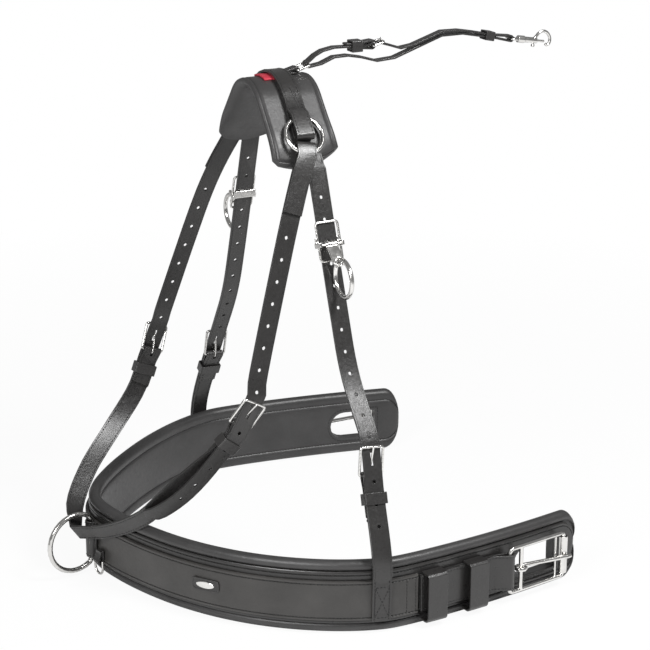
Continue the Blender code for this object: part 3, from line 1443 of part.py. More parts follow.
def make_terret(route, d, paint):
    point, along, across, outward = route.at(d)
    frame = frame_of(point, along, across)
    surface = STRAP_THICK / 2
    wire_out = surface + GAP + TERRET_WIRE
    half = STRAP_WIDTH / 2 + BUCKLE_SIDE_PLAY + TERRET_WIRE
    low, high = -TERRET_LENGTH / 2, TERRET_LENGTH / 2
    outline = rounded_rectangle(low, high, half, TERRET_WIRE * 2)
    path = [corner + Vector((0, 0, wire_out)) for corner in outline]
    body = settled(wire("terret_frame", path, TERRET_WIRE, paint, True, frame))
    plate_mid = -surface - GAP - TERRET_PLATE_THICK / 2
    width = 2 * (half + TERRET_WIRE / 2)
    size = (TERRET_PLATE_LENGTH, width, TERRET_PLATE_THICK)
    back = box("terret_back", size, frame, None, Vector((0, 0, plate_mid)))
    combine(body, back, "UNION")
    ear_low = plate_mid - TERRET_PLATE_THICK / 2
    ear_high = TERRET_PIN_OUT + TERRET_PIN_RADIUS * 2
    for side in (-1, 1):
        ear = box(
            f"terret_ear_{side + 1}",
            (TERRET_EAR_LENGTH, TERRET_EAR_THICK, ear_high - ear_low),
            frame,
            None,
            Vector((TERRET_PIN_DOWN, side * (half + TERRET_WIRE / 4), (ear_low + ear_high) / 2)),
        )
        combine(body, ear, "UNION")
    pin_low = frame @ Vector((TERRET_PIN_DOWN, -half, TERRET_PIN_OUT))
    pin_high = frame @ Vector((TERRET_PIN_DOWN, half, TERRET_PIN_OUT))
    combine(body, cylinder("terret_pin", pin_low, pin_high, TERRET_PIN_RADIUS, None), "UNION")
    pair(body, "terret_frame")

    pin = frame @ Vector((TERRET_PIN_DOWN, 0, TERRET_PIN_OUT))
    tilted = Matrix.Translation(pin) @ frame.to_3x3().to_4x4() @ Matrix.Rotation(-LUG_TILT, 4, "Y")
    length = TERRET_KNUCKLE_LENGTH / 2
    low = tilted @ Vector((0, -length, 0))
    high = tilted @ Vector((0, length, 0))
    knuckle = cylinder("terret_lug", low, high, TERRET_KNUCKLE_RADIUS, paint)
    tip = LUG_EYE_RADIUS + LUG_THICK
    outline = [(0, -LUG_WIDTH / 2), (LUG_LENGTH / 2, -LUG_WIDTH / 2)]
    for i in range(7):
        angle = -math.pi / 2 + math.pi * i / 6
        outline.append((LUG_LENGTH + tip * math.cos(angle), tip * math.sin(angle)))
    outline += [(LUG_LENGTH / 2, LUG_WIDTH / 2), (0, LUG_WIDTH / 2)]
    eye = [(LUG_LENGTH + point.x, point.y) for point in ring_points(LUG_EYE_RADIUS, 12)]
    tongue = settled(plate("lug_plate", [outline, eye], LUG_THICK, None, tilted))
    knuckle = settled(knuckle)
    combine(knuckle, tongue, "UNION")
    bore_low = tilted @ Vector((0, -LUG_WIDTH, 0))
    bore_high = tilted @ Vector((0, LUG_WIDTH, 0))
    combine(knuckle, cylinder("lug_bore", bore_low, bore_high, TERRET_PIN_RADIUS + GAP, None), "DIFFERENCE")
    near, far = pair(knuckle, "terret_lug")
    hinge_origin(near, pin)
    hinge_origin(far, Vector((pin.x, -pin.y, pin.z)))

    reach = LUG_LENGTH * math.cos(LUG_TILT)
    eye_place = Vector((TERRET_PIN_DOWN + reach, 0, TERRET_PIN_OUT + LUG_LENGTH * math.sin(LUG_TILT)))
    centre_out = surface + TERRET_RING_REST + TERRET_RING_RADIUS + TERRET_RING_WIRE
    rise = centre_out - eye_place.z
    centre = Vector((eye_place.x + math.sqrt(TERRET_RING_RADIUS**2 - rise**2), 0, centre_out))
    ring_frame = frame @ Matrix.Translation(centre) @ Matrix.Rotation(math.pi / 2, 4, "X")
    path = ring_points(TERRET_RING_RADIUS, 24)
    ring = wire("terret_ring", path, TERRET_RING_WIRE, paint, True, ring_frame)
    near, far = pair(ring, "terret_ring")
    eye_world = frame @ eye_place
    hinge_origin(near, eye_world)
    hinge_origin(far, Vector((eye_world.x, -eye_world.y, eye_world.z)))
    return frame


def tether_place(shares):
    start = crest_dee_rear_bar()
    return start + Vector((shares[0] * TETHER_REACH, 0, shares[1] * TETHER_REACH))


def tether_fold(centre, radius, start, turn, steps=6):
    points = []
    for i in range(steps + 1):
        angle = start + turn * i / steps
        points.append(centre + Vector((radius * math.cos(angle), 0, radius * math.sin(angle))))
    return points


def make_tether(paint):
    """From the buckle's bar to the crest dee, out to the snap, and back through the buckle."""
    side = Vector((0, 1, 0))
    half = TETHER_WIDTH / 2
    bar = tether_place(TETHER_BAR_SHARES)
    fold = TETHER_WIRE + GAP + TETHER_THICK / 2
    dee = crest_dee_rear_bar()
    dee_fold = CREST_DEE_WIRE + GAP + TETHER_THICK / 2
    eye = tether_place(TETHER_EYE_SHARES)
    eye_fold = SNAP_EYE_WIRE + GAP + TETHER_THICK / 2
    under = -fold - GAP - TETHER_THICK
    first = [
        tether_place(TETHER_KEEPER_SHARES) + Vector((under * 1.3, 0, -TETHER_THICK - GAP)),
        tether_place(TETHER_KEEPER_SHARES) + Vector((-under, 0, -TETHER_THICK - GAP)),
    ]
    turn = tether_fold(bar, fold, -math.pi / 2, math.pi)
    upper = [tether_place(shares) for shares in reversed(TETHER_UPPER_SHARES)]
    dee_turn = tether_fold(dee, dee_fold, math.pi / 2, math.pi)
    lower = [tether_place(shares) for shares in TETHER_LOWER_SHARES]
    eye_turn = tether_fold(eye, eye_fold, -math.pi / 2, math.pi)
    back = [tether_place(shares) for shares in TETHER_BACK_SHARES]
    tail = [tether_place(shares) for shares in TETHER_TAIL_SHARES]
    places = first + turn + upper + dee_turn + lower + eye_turn + back + tail
    stations = [(place, side, half) for place in places]
    strap = settled(strip("tether_strap", stations, TETHER_THICK, paint))
    frame = tether_buckle_frame()
    low, high = (share * TETHER_BUCKLE_LENGTH for share in TETHER_SLOT_SHARES)
    width = 2 * (TETHER_TONGUE_WIRE + GAP)
    long = Vector((high - low, width, OVERRUN))
    spot = Vector(((low + high) / 2, 0, 0))
    combine(strap, box("tether_slot", long, frame, None, spot), "DIFFERENCE")
    tall = Vector((2 * (fold + TETHER_THICK), width, 2 * fold + TETHER_THICK + GAP))
    combine(strap, box("tether_chape_slot", tall, frame, None), "DIFFERENCE")
    return strap


def snap_frame():
    side = Vector((0, 1, 0))
    direction = Vector((math.cos(SNAP_FALL), 0, -math.sin(SNAP_FALL)))
    return frame_of(tether_place(TETHER_EYE_SHARES), direction, side)


def rod(name, frame, low, high, radius, paint, sides=12):
    """A round bar along the snap's own X."""
    return cylinder(name, frame @ Vector((low, 0, 0)), frame @ Vector((high, 0, 0)), radius, paint, sides)


def make_snap_eye(frame, paint):
    half = TETHER_WIDTH / 2 + BUCKLE_SIDE_PLAY + SNAP_EYE_WIRE
    path = rounded_rectangle(0, SNAP_EYE_LENGTH, half, SNAP_EYE_WIRE * 1.5)
    eye = settled(wire("snap_eye", path, SNAP_EYE_WIRE, paint, True, frame))
    inside = (SNAP_HEAD_START + SNAP_HEAD_END) / 2
    combine(eye, rod("snap_post", frame, SNAP_EYE_LENGTH, inside, SNAP_POST_RADIUS, None), "UNION")
    combine(eye, rod("snap_head", frame, SNAP_HEAD_START, SNAP_HEAD_END, SNAP_HEAD_RADIUS, None), "UNION")
    settled(eye)


def hook_place(shares):
    return Vector((SNAP_BARREL_END + shares[0] * SNAP_HOOK_REACH, 0, shares[1] * SNAP_HOOK_REACH))


def make_snap_body(frame, paint):
    """The swivelling body: a collar over the post's head, a barrel for the bolt, and the hook."""
    body = settled(rod("snap_body", frame, SNAP_COLLAR_START, SNAP_COLLAR_END, SNAP_COLLAR_RADIUS, paint, 16))
    low = SNAP_COLLAR_END - SNAP_STEM_RADIUS
    combine(body, rod("snap_barrel", frame, low, SNAP_BARREL_END, SNAP_BARREL_RADIUS, None, 16), "UNION")
    path = smooth_line([hook_place(shares) for shares in SNAP_HOOK_SHARES], SNAP_HOOK_WIRE * 2)
    combine(body, settled(wire("snap_hook", path, SNAP_HOOK_WIRE, None, False, frame)), "UNION")
    body = settled(body)
    out = SNAP_COLLAR_START - OVERRUN
    combine(body, rod("post_bore", frame, out, SNAP_HEAD_START, SNAP_POST_RADIUS + GAP, None), "DIFFERENCE")
    low = SNAP_HEAD_START - GAP
    combine(body, rod("head_bore", frame, low, SNAP_HEAD_END + GAP, SNAP_HEAD_RADIUS + GAP, None), "DIFFERENCE")
    out = hook_place(SNAP_HOOK_SHARES[-1]).x
    combine(body, rod("bolt_bore", frame, SNAP_BORE_START, out, SNAP_BOLT_RADIUS + GAP, None), "DIFFERENCE")
    width = 2 * (SNAP_STEM_RADIUS + GAP)
    low = SNAP_STEM_AT - SNAP_TRAVEL - SNAP_STEM_RADIUS - GAP
    high = SNAP_STEM_AT + SNAP_STEM_RADIUS + GAP
    depth = SNAP_BARREL_RADIUS + OVERRUN
    centre = Vector(((low + high) / 2, 0, -depth / 2))
    combine(body, box("stem_slot", (high - low, width, depth), frame, None, centre), "DIFFERENCE")
    body = settled(body)
    hinge_origin(body, frame @ Vector((SNAP_HEAD_START, 0, 0)))


def make_snap_bolt(frame, paint):
    tip = hook_place(SNAP_HOOK_SHARES[-1]).x - SNAP_HOOK_WIRE - GAP
    bolt = settled(rod("snap_bolt", frame, SNAP_BOLT_START, tip, SNAP_BOLT_RADIUS, paint))
    down = [frame @ Vector((SNAP_STEM_AT, 0, -z)) for z in (0, SNAP_KNOB_FAR, SNAP_KNOB_NEAR)]
    combine(bolt, cylinder("snap_stem", down[0], down[1], SNAP_STEM_RADIUS, None, 8), "UNION")
    combine(bolt, cylinder("snap_knob", down[2], down[1], SNAP_KNOB_RADIUS, None), "UNION")
    bolt = settled(bolt)
    hinge_origin(bolt, frame @ Vector((SNAP_STEM_AT, 0, 0)))


def tether_buckle_frame():
    direction = Vector((math.cos(TETHER_BUCKLE_RISE), 0, math.sin(TETHER_BUCKLE_RISE)))
    return frame_of(tether_place(TETHER_BAR_SHARES), direction, Vector((0, 1, 0)))


def make_tether_buckle(paint):
    frame = tether_buckle_frame()
    half = TETHER_WIDTH / 2 + BUCKLE_SIDE_PLAY + TETHER_WIRE
    path = rounded_rectangle(0, TETHER_BUCKLE_LENGTH, half, TETHER_WIRE * 1.5)
    wire("tether_buckle", path, TETHER_WIRE, paint, True, frame)
    wrap = TETHER_WIRE + GAP + TETHER_TONGUE_WIRE
    points = []
    for i in range(9):
        angle = -math.pi / 2 - TONGUE_WRAP * (1 - i / 8)
        points.append(Vector((wrap * math.cos(angle), 0, wrap * math.sin(angle))))
    reach = TETHER_BUCKLE_LENGTH + TETHER_WIRE
    slope = (2 * wrap + GAP) / TETHER_BUCKLE_LENGTH
    points.append(Vector((reach, 0, slope * reach - wrap)))
    tongue = settled(wire("tether_tongue", points, TETHER_TONGUE_WIRE, paint, False, frame))
    hinge_origin(tongue, frame.translation)


def make_tether_keeper(name, shares, rise, layers, length, paint):
    """A leather keeper round the layers of the tether."""
    half = TETHER_WIDTH / 2 + TETHER_KEEPER_PLAY
    tall = layers * TETHER_THICK / 2 + 2 * GAP + TETHER_KEEPER_PLAY
    square = Vector((-math.sin(rise), 0, math.cos(rise)))
    frame = frame_of(tether_place(shares), Vector((0, 1, 0)), square)
    inner = [(-half, -tall), (half, -tall), (half, tall), (-half, tall)]
    wide = half + TETHER_KEEPER_THICK
    high = tall + TETHER_KEEPER_THICK
    cut = TETHER_KEEPER_THICK / 2
    outer = [
        (cut - wide, -high), (wide - cut, -high), (wide, cut - high), (wide, high - cut),
        (wide - cut, high), (cut - wide, high), (-wide, high - cut), (-wide, cut - high),
    ]
    plate(name, [outer, inner], length, paint, frame)


def make_rear_straps(line, leather_paint, steel_paint):
    route = rear_route(line)
    top = [route.station(0, 0, STRAP_WIDTH / 2)]
    row = (REAR_HOLES, REAR_FIRST_HOLE, REAR_TONGUE_HOLE, REAR_TAIL)
    strap = punched_strap(route, "rear_strap", top, row, 0, leather_paint)
    pair(strap, "rear_strap")
    bar = bar_place(REAR_FIRST_HOLE, REAR_TONGUE_HOLE)
    make_buckle(route, route, bar, "rear_buckle", steel_paint)
    make_tongue(route, route, bar, "rear_tongue", steel_paint)
    make_rear_billet(route, bar, leather_paint)
    make_keeper(route, route, bar + KEEPER_BELOW_BAR, "rear_keeper", leather_paint)
    make_terret(route, REAR_FIRST_HOLE + HOLE_PITCH * (TERRET_HOLE - 1), steel_paint)


def make_front_straps(line, leather_paint, steel_paint):
    near_route = front_route(line, 1, ARM_SHARES, ARM_TWIST_SHARE)
    far_route = front_route(line, -1, FAR_ARM_SHARES, FAR_ARM_TWIST_SHARE)

    def block(route, sag):
        row = (FRONT_HOLES, FRONT_FIRST_HOLE, FRONT_TONGUE_HOLE, FRONT_TAIL)
        return punched_strap(route, "front_strap", ring_fold(route), row, sag, leather_paint)

    near = settled(block(near_route, -FREE_END_SAG))
    near.name = "near_front_strap"
    far_copy(block(far_route, 0), "front_strap")
    bar = bar_place(FRONT_FIRST_HOLE, FRONT_TONGUE_HOLE)
    make_buckle(near_route, far_route, bar, "front_buckle", steel_paint)
    make_tongue(near_route, far_route, bar, "front_tongue", steel_paint)
    make_keeper(near_route, far_route, bar + KEEPER_BELOW_BAR, "front_keeper", leather_paint)
    end = FRONT_FIRST_HOLE + HOLE_PITCH * (FRONT_HOLES - 1) + FRONT_TAIL
    make_vee_strap(near_route, far_route, bar, end, leather_paint)


def make_materials():
    return {"leather": leather(), "soft": soft_leather(), "steel": steel(), "red": red_leather()}


def main():
    clear_scene()
    make_collection("breast_collar")
    make_collection("cutters", hidden=True)
    paints = make_materials()
    line = BandLine()
    make_padding(line, paints["soft"])
    make_cover(line, paints["leather"])
    make_tug(line, paints["leather"])
    make_trace_buckle(line, paints["steel"])
    make_trace_roller(line, paints["steel"])
    make_trace_tongue(line, paints["steel"])
    make_trace_chape(line, paints["leather"])
    make_box_keeper(line, FRONT_BOX_FROM_END, "front_box_keeper", paints["leather"])
    make_box_keeper(line, REAR_BOX_FROM_END, "rear_box_keeper", paints["leather"])
    make_plate(line, paints["leather"])
    make_chest_ring(line, paints["steel"])
    make_front_loop(line, paints["leather"])
    make_front_tab(line, paints["leather"])
    make_front_dee(line, paints["steel"])
    make_pad(paints["soft"])
    make_neck_rings(paints["steel"])
    make_centre_strap(paints["leather"])
    make_crest(paints["leather"], paints["red"], paints["steel"])

    make_rear_straps(line, paints["leather"], paints["steel"])
    make_front_straps(line, paints["leather"], paints["steel"])
    make_tether(paints["leather"])
    make_tether_buckle(paints["steel"])
    make_tether_keeper(
        "tether_keeper", TETHER_KEEPER_SHARES, TETHER_KEEPER_RISE, 3, TETHER_KEEPER_LENGTH, paints["leather"]
    )
    make_tether_keeper(
        "tether_end_keeper", TETHER_END_KEEPER_SHARES, TETHER_END_KEEPER_RISE, 2, TETHER_END_KEEPER_LENGTH,
        paints["leather"],
    )
    frame = snap_frame()
    make_snap_eye(frame, paints["steel"])
    make_snap_body(frame, paints["steel"])
    make_snap_bolt(frame, paints["steel"])


main()
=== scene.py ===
"""The driving harness's breast collar in its leather, thread and steel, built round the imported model."""

import json
import math

import bmesh
import bpy
from bpy.props import FloatProperty, FloatVectorProperty, IntProperty, PointerProperty
from mathutils import Matrix, Vector
from mathutils.bvhtree import BVHTree

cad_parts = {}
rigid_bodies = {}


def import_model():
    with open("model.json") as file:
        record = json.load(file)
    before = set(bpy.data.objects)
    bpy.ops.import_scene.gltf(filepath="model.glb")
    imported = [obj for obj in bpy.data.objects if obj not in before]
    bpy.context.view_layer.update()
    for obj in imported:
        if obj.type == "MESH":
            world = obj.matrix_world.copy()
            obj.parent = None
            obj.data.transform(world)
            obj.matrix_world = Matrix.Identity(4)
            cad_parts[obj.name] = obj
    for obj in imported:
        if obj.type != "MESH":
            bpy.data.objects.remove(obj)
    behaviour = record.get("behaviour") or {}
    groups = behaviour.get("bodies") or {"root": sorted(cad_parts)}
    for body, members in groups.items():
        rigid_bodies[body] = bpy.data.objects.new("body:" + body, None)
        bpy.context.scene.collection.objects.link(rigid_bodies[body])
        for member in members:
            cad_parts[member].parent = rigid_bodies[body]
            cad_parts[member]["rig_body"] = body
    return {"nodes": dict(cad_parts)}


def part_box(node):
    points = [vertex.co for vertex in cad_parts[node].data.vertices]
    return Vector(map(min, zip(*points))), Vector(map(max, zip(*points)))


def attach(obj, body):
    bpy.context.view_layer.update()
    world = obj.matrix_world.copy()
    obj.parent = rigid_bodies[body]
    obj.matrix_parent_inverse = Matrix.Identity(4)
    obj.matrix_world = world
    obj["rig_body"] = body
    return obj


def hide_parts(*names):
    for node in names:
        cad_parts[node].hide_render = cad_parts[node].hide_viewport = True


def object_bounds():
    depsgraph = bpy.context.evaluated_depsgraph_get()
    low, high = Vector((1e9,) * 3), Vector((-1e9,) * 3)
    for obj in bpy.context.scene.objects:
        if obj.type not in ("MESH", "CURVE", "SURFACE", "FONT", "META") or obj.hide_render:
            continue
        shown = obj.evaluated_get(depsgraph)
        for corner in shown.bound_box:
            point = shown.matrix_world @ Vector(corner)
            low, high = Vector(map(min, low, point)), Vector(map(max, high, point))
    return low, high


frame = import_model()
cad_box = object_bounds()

bl_info = {
    "name": "Driving harness breast collar",
    "version": (1, 0, 0),
    "blender": (4, 5, 0),
    "location": "View3D > Sidebar > Harness",
    "description": "Dresses a breast collar in leather, thread and steel, piece by piece",
    "category": "Object",
}

UP = Vector((0, 0, 1))

# Turns over which an edge stays sharp: on cut leather, on soft leather, on the plaque, on a strap's solid
CUT_EDGE = math.radians(38)
SOFT_EDGE = math.radians(50)
PLAQUE_EDGE = math.radians(60)
STRAP_EDGE = math.radians(42)
FLAT_TURN = math.radians(1.5)
SAME_POINT = 0.00002

# The band's line from above, from its far end to its near one: distance along, X, Y, and the way out
BAND_CORNERS = (
    (-0.6015, 0.2810, 0.2230, 0.2194, 0.9756),
    (-0.5280, 0.2090, 0.2376, 0.1752, 0.9845),
    (-0.4545, 0.1363, 0.2487, 0.1256, 0.9921),
    (-0.3845, 0.0667, 0.2555, 0.0656, 0.9978),
    (-0.3425, 0.0247, 0.2567, -0.0995, 0.9950),
    (-0.3250, 0.0075, 0.2536, -0.2385, 0.9711),
    (-0.2970, -0.0191, 0.2449, -0.3717, 0.9283),
    (-0.2550, -0.0567, 0.2263, -0.5050, 0.8631),
    (-0.1990, -0.1028, 0.1945, -0.6203, 0.7843),
    (-0.1290, -0.1547, 0.1477, -0.7136, 0.7006),
    (-0.0730, -0.1915, 0.1054, -0.8045, 0.5940),
    (-0.0450, -0.2065, 0.0819, -0.8850, 0.4655),
    (-0.0275, -0.2136, 0.0659, -0.9420, 0.3357),
    (-0.0100, -0.2180, 0.0490, -0.9866, 0.1630),
    (0.0208, -0.2167, 0.0184, -0.9855, -0.1697),
    (0.0733, -0.2036, -0.0324, -0.9499, -0.3126),
    (0.1328, -0.1812, -0.0875, -0.8970, -0.4421),
    (0.1853, -0.1548, -0.1328, -0.8258, -0.5640),
    (0.2343, -0.1243, -0.1711, -0.7327, -0.6806),
    (0.2798, -0.0911, -0.2021, -0.6264, -0.7795),
    (0.3253, -0.0536, -0.2279, -0.5031, -0.8642),
    (0.3638, -0.0191, -0.2449, -0.3725, -0.9280),
    (0.3918, 0.0075, -0.2536, -0.2386, -0.9711),
    (0.4093, 0.0247, -0.2567, -0.0995, -0.9950),
    (0.4478, 0.0632, -0.2557, 0.0619, -0.9981),
    (0.5213, 0.1363, -0.2487, 0.1256, -0.9921),
    (0.5948, 0.2090, -0.2376, 0.1752, -0.9845),
    (0.6683, 0.2810, -0.2230, 0.2194, -0.9756),
)
BAND_FAR_END = BAND_CORNERS[0][0]
BAND_NEAR_END = BAND_CORNERS[-1][0]
BAND_Z = -0.5265
BAND_STEP = 0.0065
END_STEPS = 9
BAND_END_LEAST = 0.02

# Band sections, as places out from the line and up from its middle
PADDING_HALF_SECTION = (
    (-0.0064, 0.0), (-0.0063, 0.010), (-0.0060, 0.019), (-0.0055, 0.0250), (-0.0047, 0.0283),
    (-0.0040, 0.0290), (-0.0046, 0.0297), (-0.0056, 0.0315), (-0.0062, 0.0350), (-0.0056, 0.0388),
    (-0.0038, 0.0416), (-0.0012, 0.0431), (0.0017, 0.0435), (0.0047, 0.0428), (0.0070, 0.0408),
    (0.0083, 0.0381), (0.0084, 0.0354), (0.0074, 0.0334), (0.0060, 0.0325), (0.0050, 0.0320),
    (0.0050, 0.0160), (0.0050, 0.0),
)
COVER_HALF_SECTION = (
    (0.0054, 0.0), (0.0054, 0.0306), (0.0058, 0.0317), (0.0066, 0.0320), (0.0078, 0.0317),
    (0.0086, 0.0306), (0.0087, 0.0290), (0.0083, 0.0279), (0.0074, 0.0274), (0.0074, 0.0269),
    (0.0082, 0.0264), (0.0084, 0.0240), (0.0084, 0.0),
)
TUG_HALF_SECTION = (
    (0.0088, 0.0), (0.0088, 0.0234), (0.0093, 0.0240), (0.0118, 0.0240), (0.0126, 0.0236),
    (0.0129, 0.0228), (0.0127, 0.0214), (0.0119, 0.0208), (0.0119, 0.0204), (0.0127, 0.0198),
    (0.0129, 0.0186), (0.0129, 0.0),
)
TUG_DROP = 0.0025
TUG_END_FROM_END = 0.232
END_ROUNDING = 0.021
COVER_END_MARGIN = 0.006
WINDOW_HEIGHT = 0.038
WINDOW_FRONT_FROM_END = 0.099
WINDOW_REAR_FROM_END = 0.036
WINDOW_CUT = (-0.016, 0.020)
WINDOW_STEPS = 10

# Neck pad
PAD_THICK = 0.016
PAD_EDGE_THICK = 0.006
PAD_LENGTH = 0.078
PAD_CROWN_RADIUS = 0.034
PAD_SIDE_ANGLE = math.radians(50)
PAD_SIDE_REACH = 0.107
PAD_TIP_BULGE = 0.007
PAD_CORNER = 0.006
PAD_TIP_DROP = 0.0088
PAD_TIP_SHARE = 0.66
PAD_REAR_RAISE = 0.009
PAD_REAR_FLARE = 0.005
PAD_SEAM_INSET = 0.0046
PAD_SEAM_WIDTH = 0.0011
PAD_SEAM_DEPTH = 0.0015
PAD_ACROSS = 44
PAD_ALONG = 120
PAD_RIM_REACH = 0.0025
PAD_RIM_DROP = 0.0008
PAD_RIM_BULGE = 0.0006
PAD_RIM_LEAN = 0.9

# Decorative rows on the centre strap, as places across it and down from the crest
CENTRE_STRAP_TOP = 0.0228
CENTRE_MARKS = (
    ((-0.0082, 0.0530), (-0.0040, 0.0455), (0.0040, 0.0515), (0.0000, 0.0240)),
    ((0.0070, 0.0500), (0.0030, 0.0270)),
)

# The sewn box at the lower end of each rear billet, as places along X and up
OUTSIDE_Y = 0.5
BILLET_SIDES = {"near_rear_billet": -1, "far_rear_billet": 1}
BILLET_BOX = (
    ((-0.0040, -0.5110), (0.0119, -0.5110), (0.0119, -0.5490), (-0.0040, -0.5490), (-0.0040, -0.5110)),
    ((-0.0040, -0.5110), (0.0119, -0.5490)),
    ((0.0119, -0.5110), (-0.0040, -0.5490)),
)

# The sewn box and chevron on the vee strap's far leg, as places across it and down it from their middle
CHEVRON_MIDDLE = (-0.1322, -0.3880)
CHEVRON_DOWN = (-0.45, -0.89)
CHEVRON_ACROSS = (0.91, 0.0)
CHEVRON_START_Y = 0.05
CHEVRON = (
    ((-0.0062, -0.0125), (0.0062, -0.0125), (0.0062, 0.0125), (-0.0062, 0.0125), (-0.0062, -0.0125)),
    ((-0.0038, 0.0100), (0.0, -0.0050), (0.0038, 0.0100)),
)

# The plaque in the front plate, with its section as shares of its reach and places out
PLATE_ALONG = 0.196
PLAQUE_HALF_LENGTH = 0.0112
PLAQUE_HALF_HEIGHT = 0.0043
PLAQUE_SIDES = 48
PLAQUE_SECTION = (
    (0.97, 0.0136), (1.0, 0.0141), (0.99, 0.0146), (0.94, 0.0149), (0.80, 0.0151), (0.50, 0.0152),
    (0.20, 0.01525),
)


def both(*names):
    """The near and the far node of each name."""
    return tuple(side + name for name in names for side in ("near_", "far_"))


# Pieces that keep the shape of their node, with its edges rounded off
STITCHED_STRAPS = (
    ("centre_strap", "vee_strap") + both("rear_billet", "tug_chape") + ("dee_chape", "front_loop")
)
# Straps with creased lines, whose groove shade is painted as a dark ridge
CREASED_STRAPS = both("rear_strap", "front_strap") + ("tether_strap",)
PLAIN_LEATHER = both("rear_keeper", "front_keeper", "front_box_keeper", "rear_box_keeper") + (
    "tether_keeper", "tether_end_keeper", "front_tab", "front_plate",
)
CAST_METAL = both(
    "trace_buckle", "trace_tongue", "rear_buckle", "front_buckle", "rear_tongue", "front_tongue",
    "terret_frame", "terret_lug",
) + (
    "chest_ring", "tether_buckle", "tether_tongue", "crest_dee", "front_dee", "snap_eye", "snap_body",
    "snap_bolt",
)
ROUND_RINGS = both("neck_ring", "terret_ring")
ROLLERS = both("trace_roller")
ROLLER_ROUNDING = 0.0007

# Leathers: colour, roughness, pores to a metre, coat, the coat's roughness, wrinkles
LEATHERS = {
    "strap_leather": ("strap_colour", 0.32, 1500.0, 0.35, 0.22, 0.34),
    "tug_leather": ("tug_colour", 0.42, 1500.0, 0.12, 0.30, 0.16),
    "padding_leather": ("padding_colour", 0.38, 1200.0, 0.12, 0.32, 0.22),
    "tab_leather": ("tab_colour", 0.50, 1500.0, 0.05, 0.30, 0.16),
}
DYE_SHADES = (0.82, 1.22)
DYE_PATCHES = 22.0
RUBBED_SHADE = 2.1
RUBBED_SHARE = 0.6
RUBBED_TURN = (0.53, 0.62)
PORES_TO_A_CREASE = 5
PORES_TO_A_WRINKLE = 11
LEATHER_UNEVENNESS = (-0.06, 0.09)
STEEL_SHADES = (0.90, 1.08)
STEEL_UNEVENNESS = (0.7, 1.6)
STEEL_SMEARS = 160.0
STEEL_RIPPLES = 60.0
THREAD_SHADES = (0.7, 1.9)
THREAD_TWISTS = 700.0
THREAD_ROUGHNESS = 0.55

# Lamps: place, aim and size
KEY_LAMP = ((0.6, -1.2, 1.3), (0, 0, -0.25), 0.6)
FILL_LAMP = ((-1.5, -1.2, 0.8), (0, 0, -0.3), 0.8)
SENSOR_WIDTH = 36
FLOOR_GAP = 0.0005
FLOOR_SHADE = 0.9


class LeatherSettings(bpy.types.PropertyGroup):
    """The leathers and the thread."""

    strap_colour: FloatVectorProperty(
        name="Strap colour", description="Black dyed strap leather", subtype="COLOR", size=3, min=0, max=1,
        default=(0.021, 0.020, 0.0195),
    )
    tug_colour: FloatVectorProperty(
        name="Tug colour", description="Flatter tug leather", subtype="COLOR", size=3, min=0, max=1,
        default=(0.043, 0.041, 0.039),
    )
    padding_colour: FloatVectorProperty(
        name="Padding colour", description="Soft padding leather", subtype="COLOR", size=3, min=0, max=1,
        default=(0.040, 0.039, 0.039),
    )
    tab_colour: FloatVectorProperty(
        name="Tab colour", description="Red leather tab on the crest", subtype="COLOR", size=3, min=0, max=1,
        default=(0.42, 0.03, 0.05),
    )
    # The thread's colour also paints the shade in the creases' pressed grooves.
    thread_and_crease_shade_colour: FloatVectorProperty(
        name="Thread colour", description="Waxed sewing thread", subtype="COLOR", size=3, min=0, max=1,
        default=(0.012, 0.012, 0.012),
    )
    edge_radius: FloatProperty(
        name="Edge radius", description="Rounding of a strap's edges", subtype="DISTANCE", default=0.0006,
    )
    stitch_pitch: FloatProperty(
        name="Stitch pitch", description="From one stitch to the next", subtype="DISTANCE", default=0.0042,
    )
    stitch_length: FloatProperty(
        name="Stitch length", description="Thread seen between two holes", subtype="DISTANCE", default=0.0033,
    )
    thread_radius: FloatProperty(
        name="Thread radius", description="Half the thread's thickness", subtype="DISTANCE", default=0.0005,
    )
    seam_inset: FloatProperty(
        name="Seam inset", description="From a strap's edge to its row of stitches", subtype="DISTANCE",
        default=0.0026,
    )
    crease_inset: FloatProperty(
        name="Crease inset", description="From a strap's edge to its creased line", subtype="DISTANCE",
        default=0.0020,
    )


class MetalSettings(bpy.types.PropertyGroup):
    """The polished steel of the buckles and rings."""

    colour: FloatVectorProperty(
        name="Steel colour", description="Polished steel", subtype="COLOR", size=3, min=0, max=1,
        default=(0.80, 0.79, 0.77),
    )
    roughness: FloatProperty(
        name="Steel roughness", description="Blur of its reflections", default=0.16, min=0, max=1,
    )
    grain: FloatProperty(
        name="Casting grain", description="Voxel size at which castings are softened", subtype="DISTANCE",
        default=0.00045,
    )
    softening: IntProperty(
        name="Softening", description="Smoothing passes over a casting", default=6, min=0, max=30,
    )


class StageSettings(bpy.types.PropertyGroup):
    """Camera, lamps and floor."""

    azimuth: FloatProperty(
        name="Azimuth", description="Camera's turn", subtype="ANGLE", default=math.radians(-25.5),
    )
    elevation: FloatProperty(
        name="Elevation", description="Camera's rise", subtype="ANGLE", default=math.radians(18.5),
    )
    place: FloatVectorProperty(
        name="Camera place", description="Where the camera stands", subtype="TRANSLATION", size=3,
        default=(-0.9206, -2.0601, 0.4701),
    )
    lens: FloatProperty(name="Lens", description="Focal length in millimetres", default=110.77)
    sky: FloatProperty(name="Sky", description="Strength of the even studio light", default=0.22)
    key: FloatProperty(name="Key lamp", description="Power of the high lamp", subtype="POWER", default=36)
    fill: FloatProperty(name="Fill lamp", description="Power of the front lamp", subtype="POWER", default=28)
    floor_size: FloatProperty(name="Floor size", description="Floor's side", subtype="DISTANCE", default=12)
    floor_white: FloatProperty(
        name="Floor white", description="Share of plain white in the floor", default=0.93, min=0, max=1,
    )
    shadow_reach: FloatProperty(
        name="Shadow reach", description="Distance at which the floor turns plain white", subtype="DISTANCE",
        default=1.6,
    )


# Materials


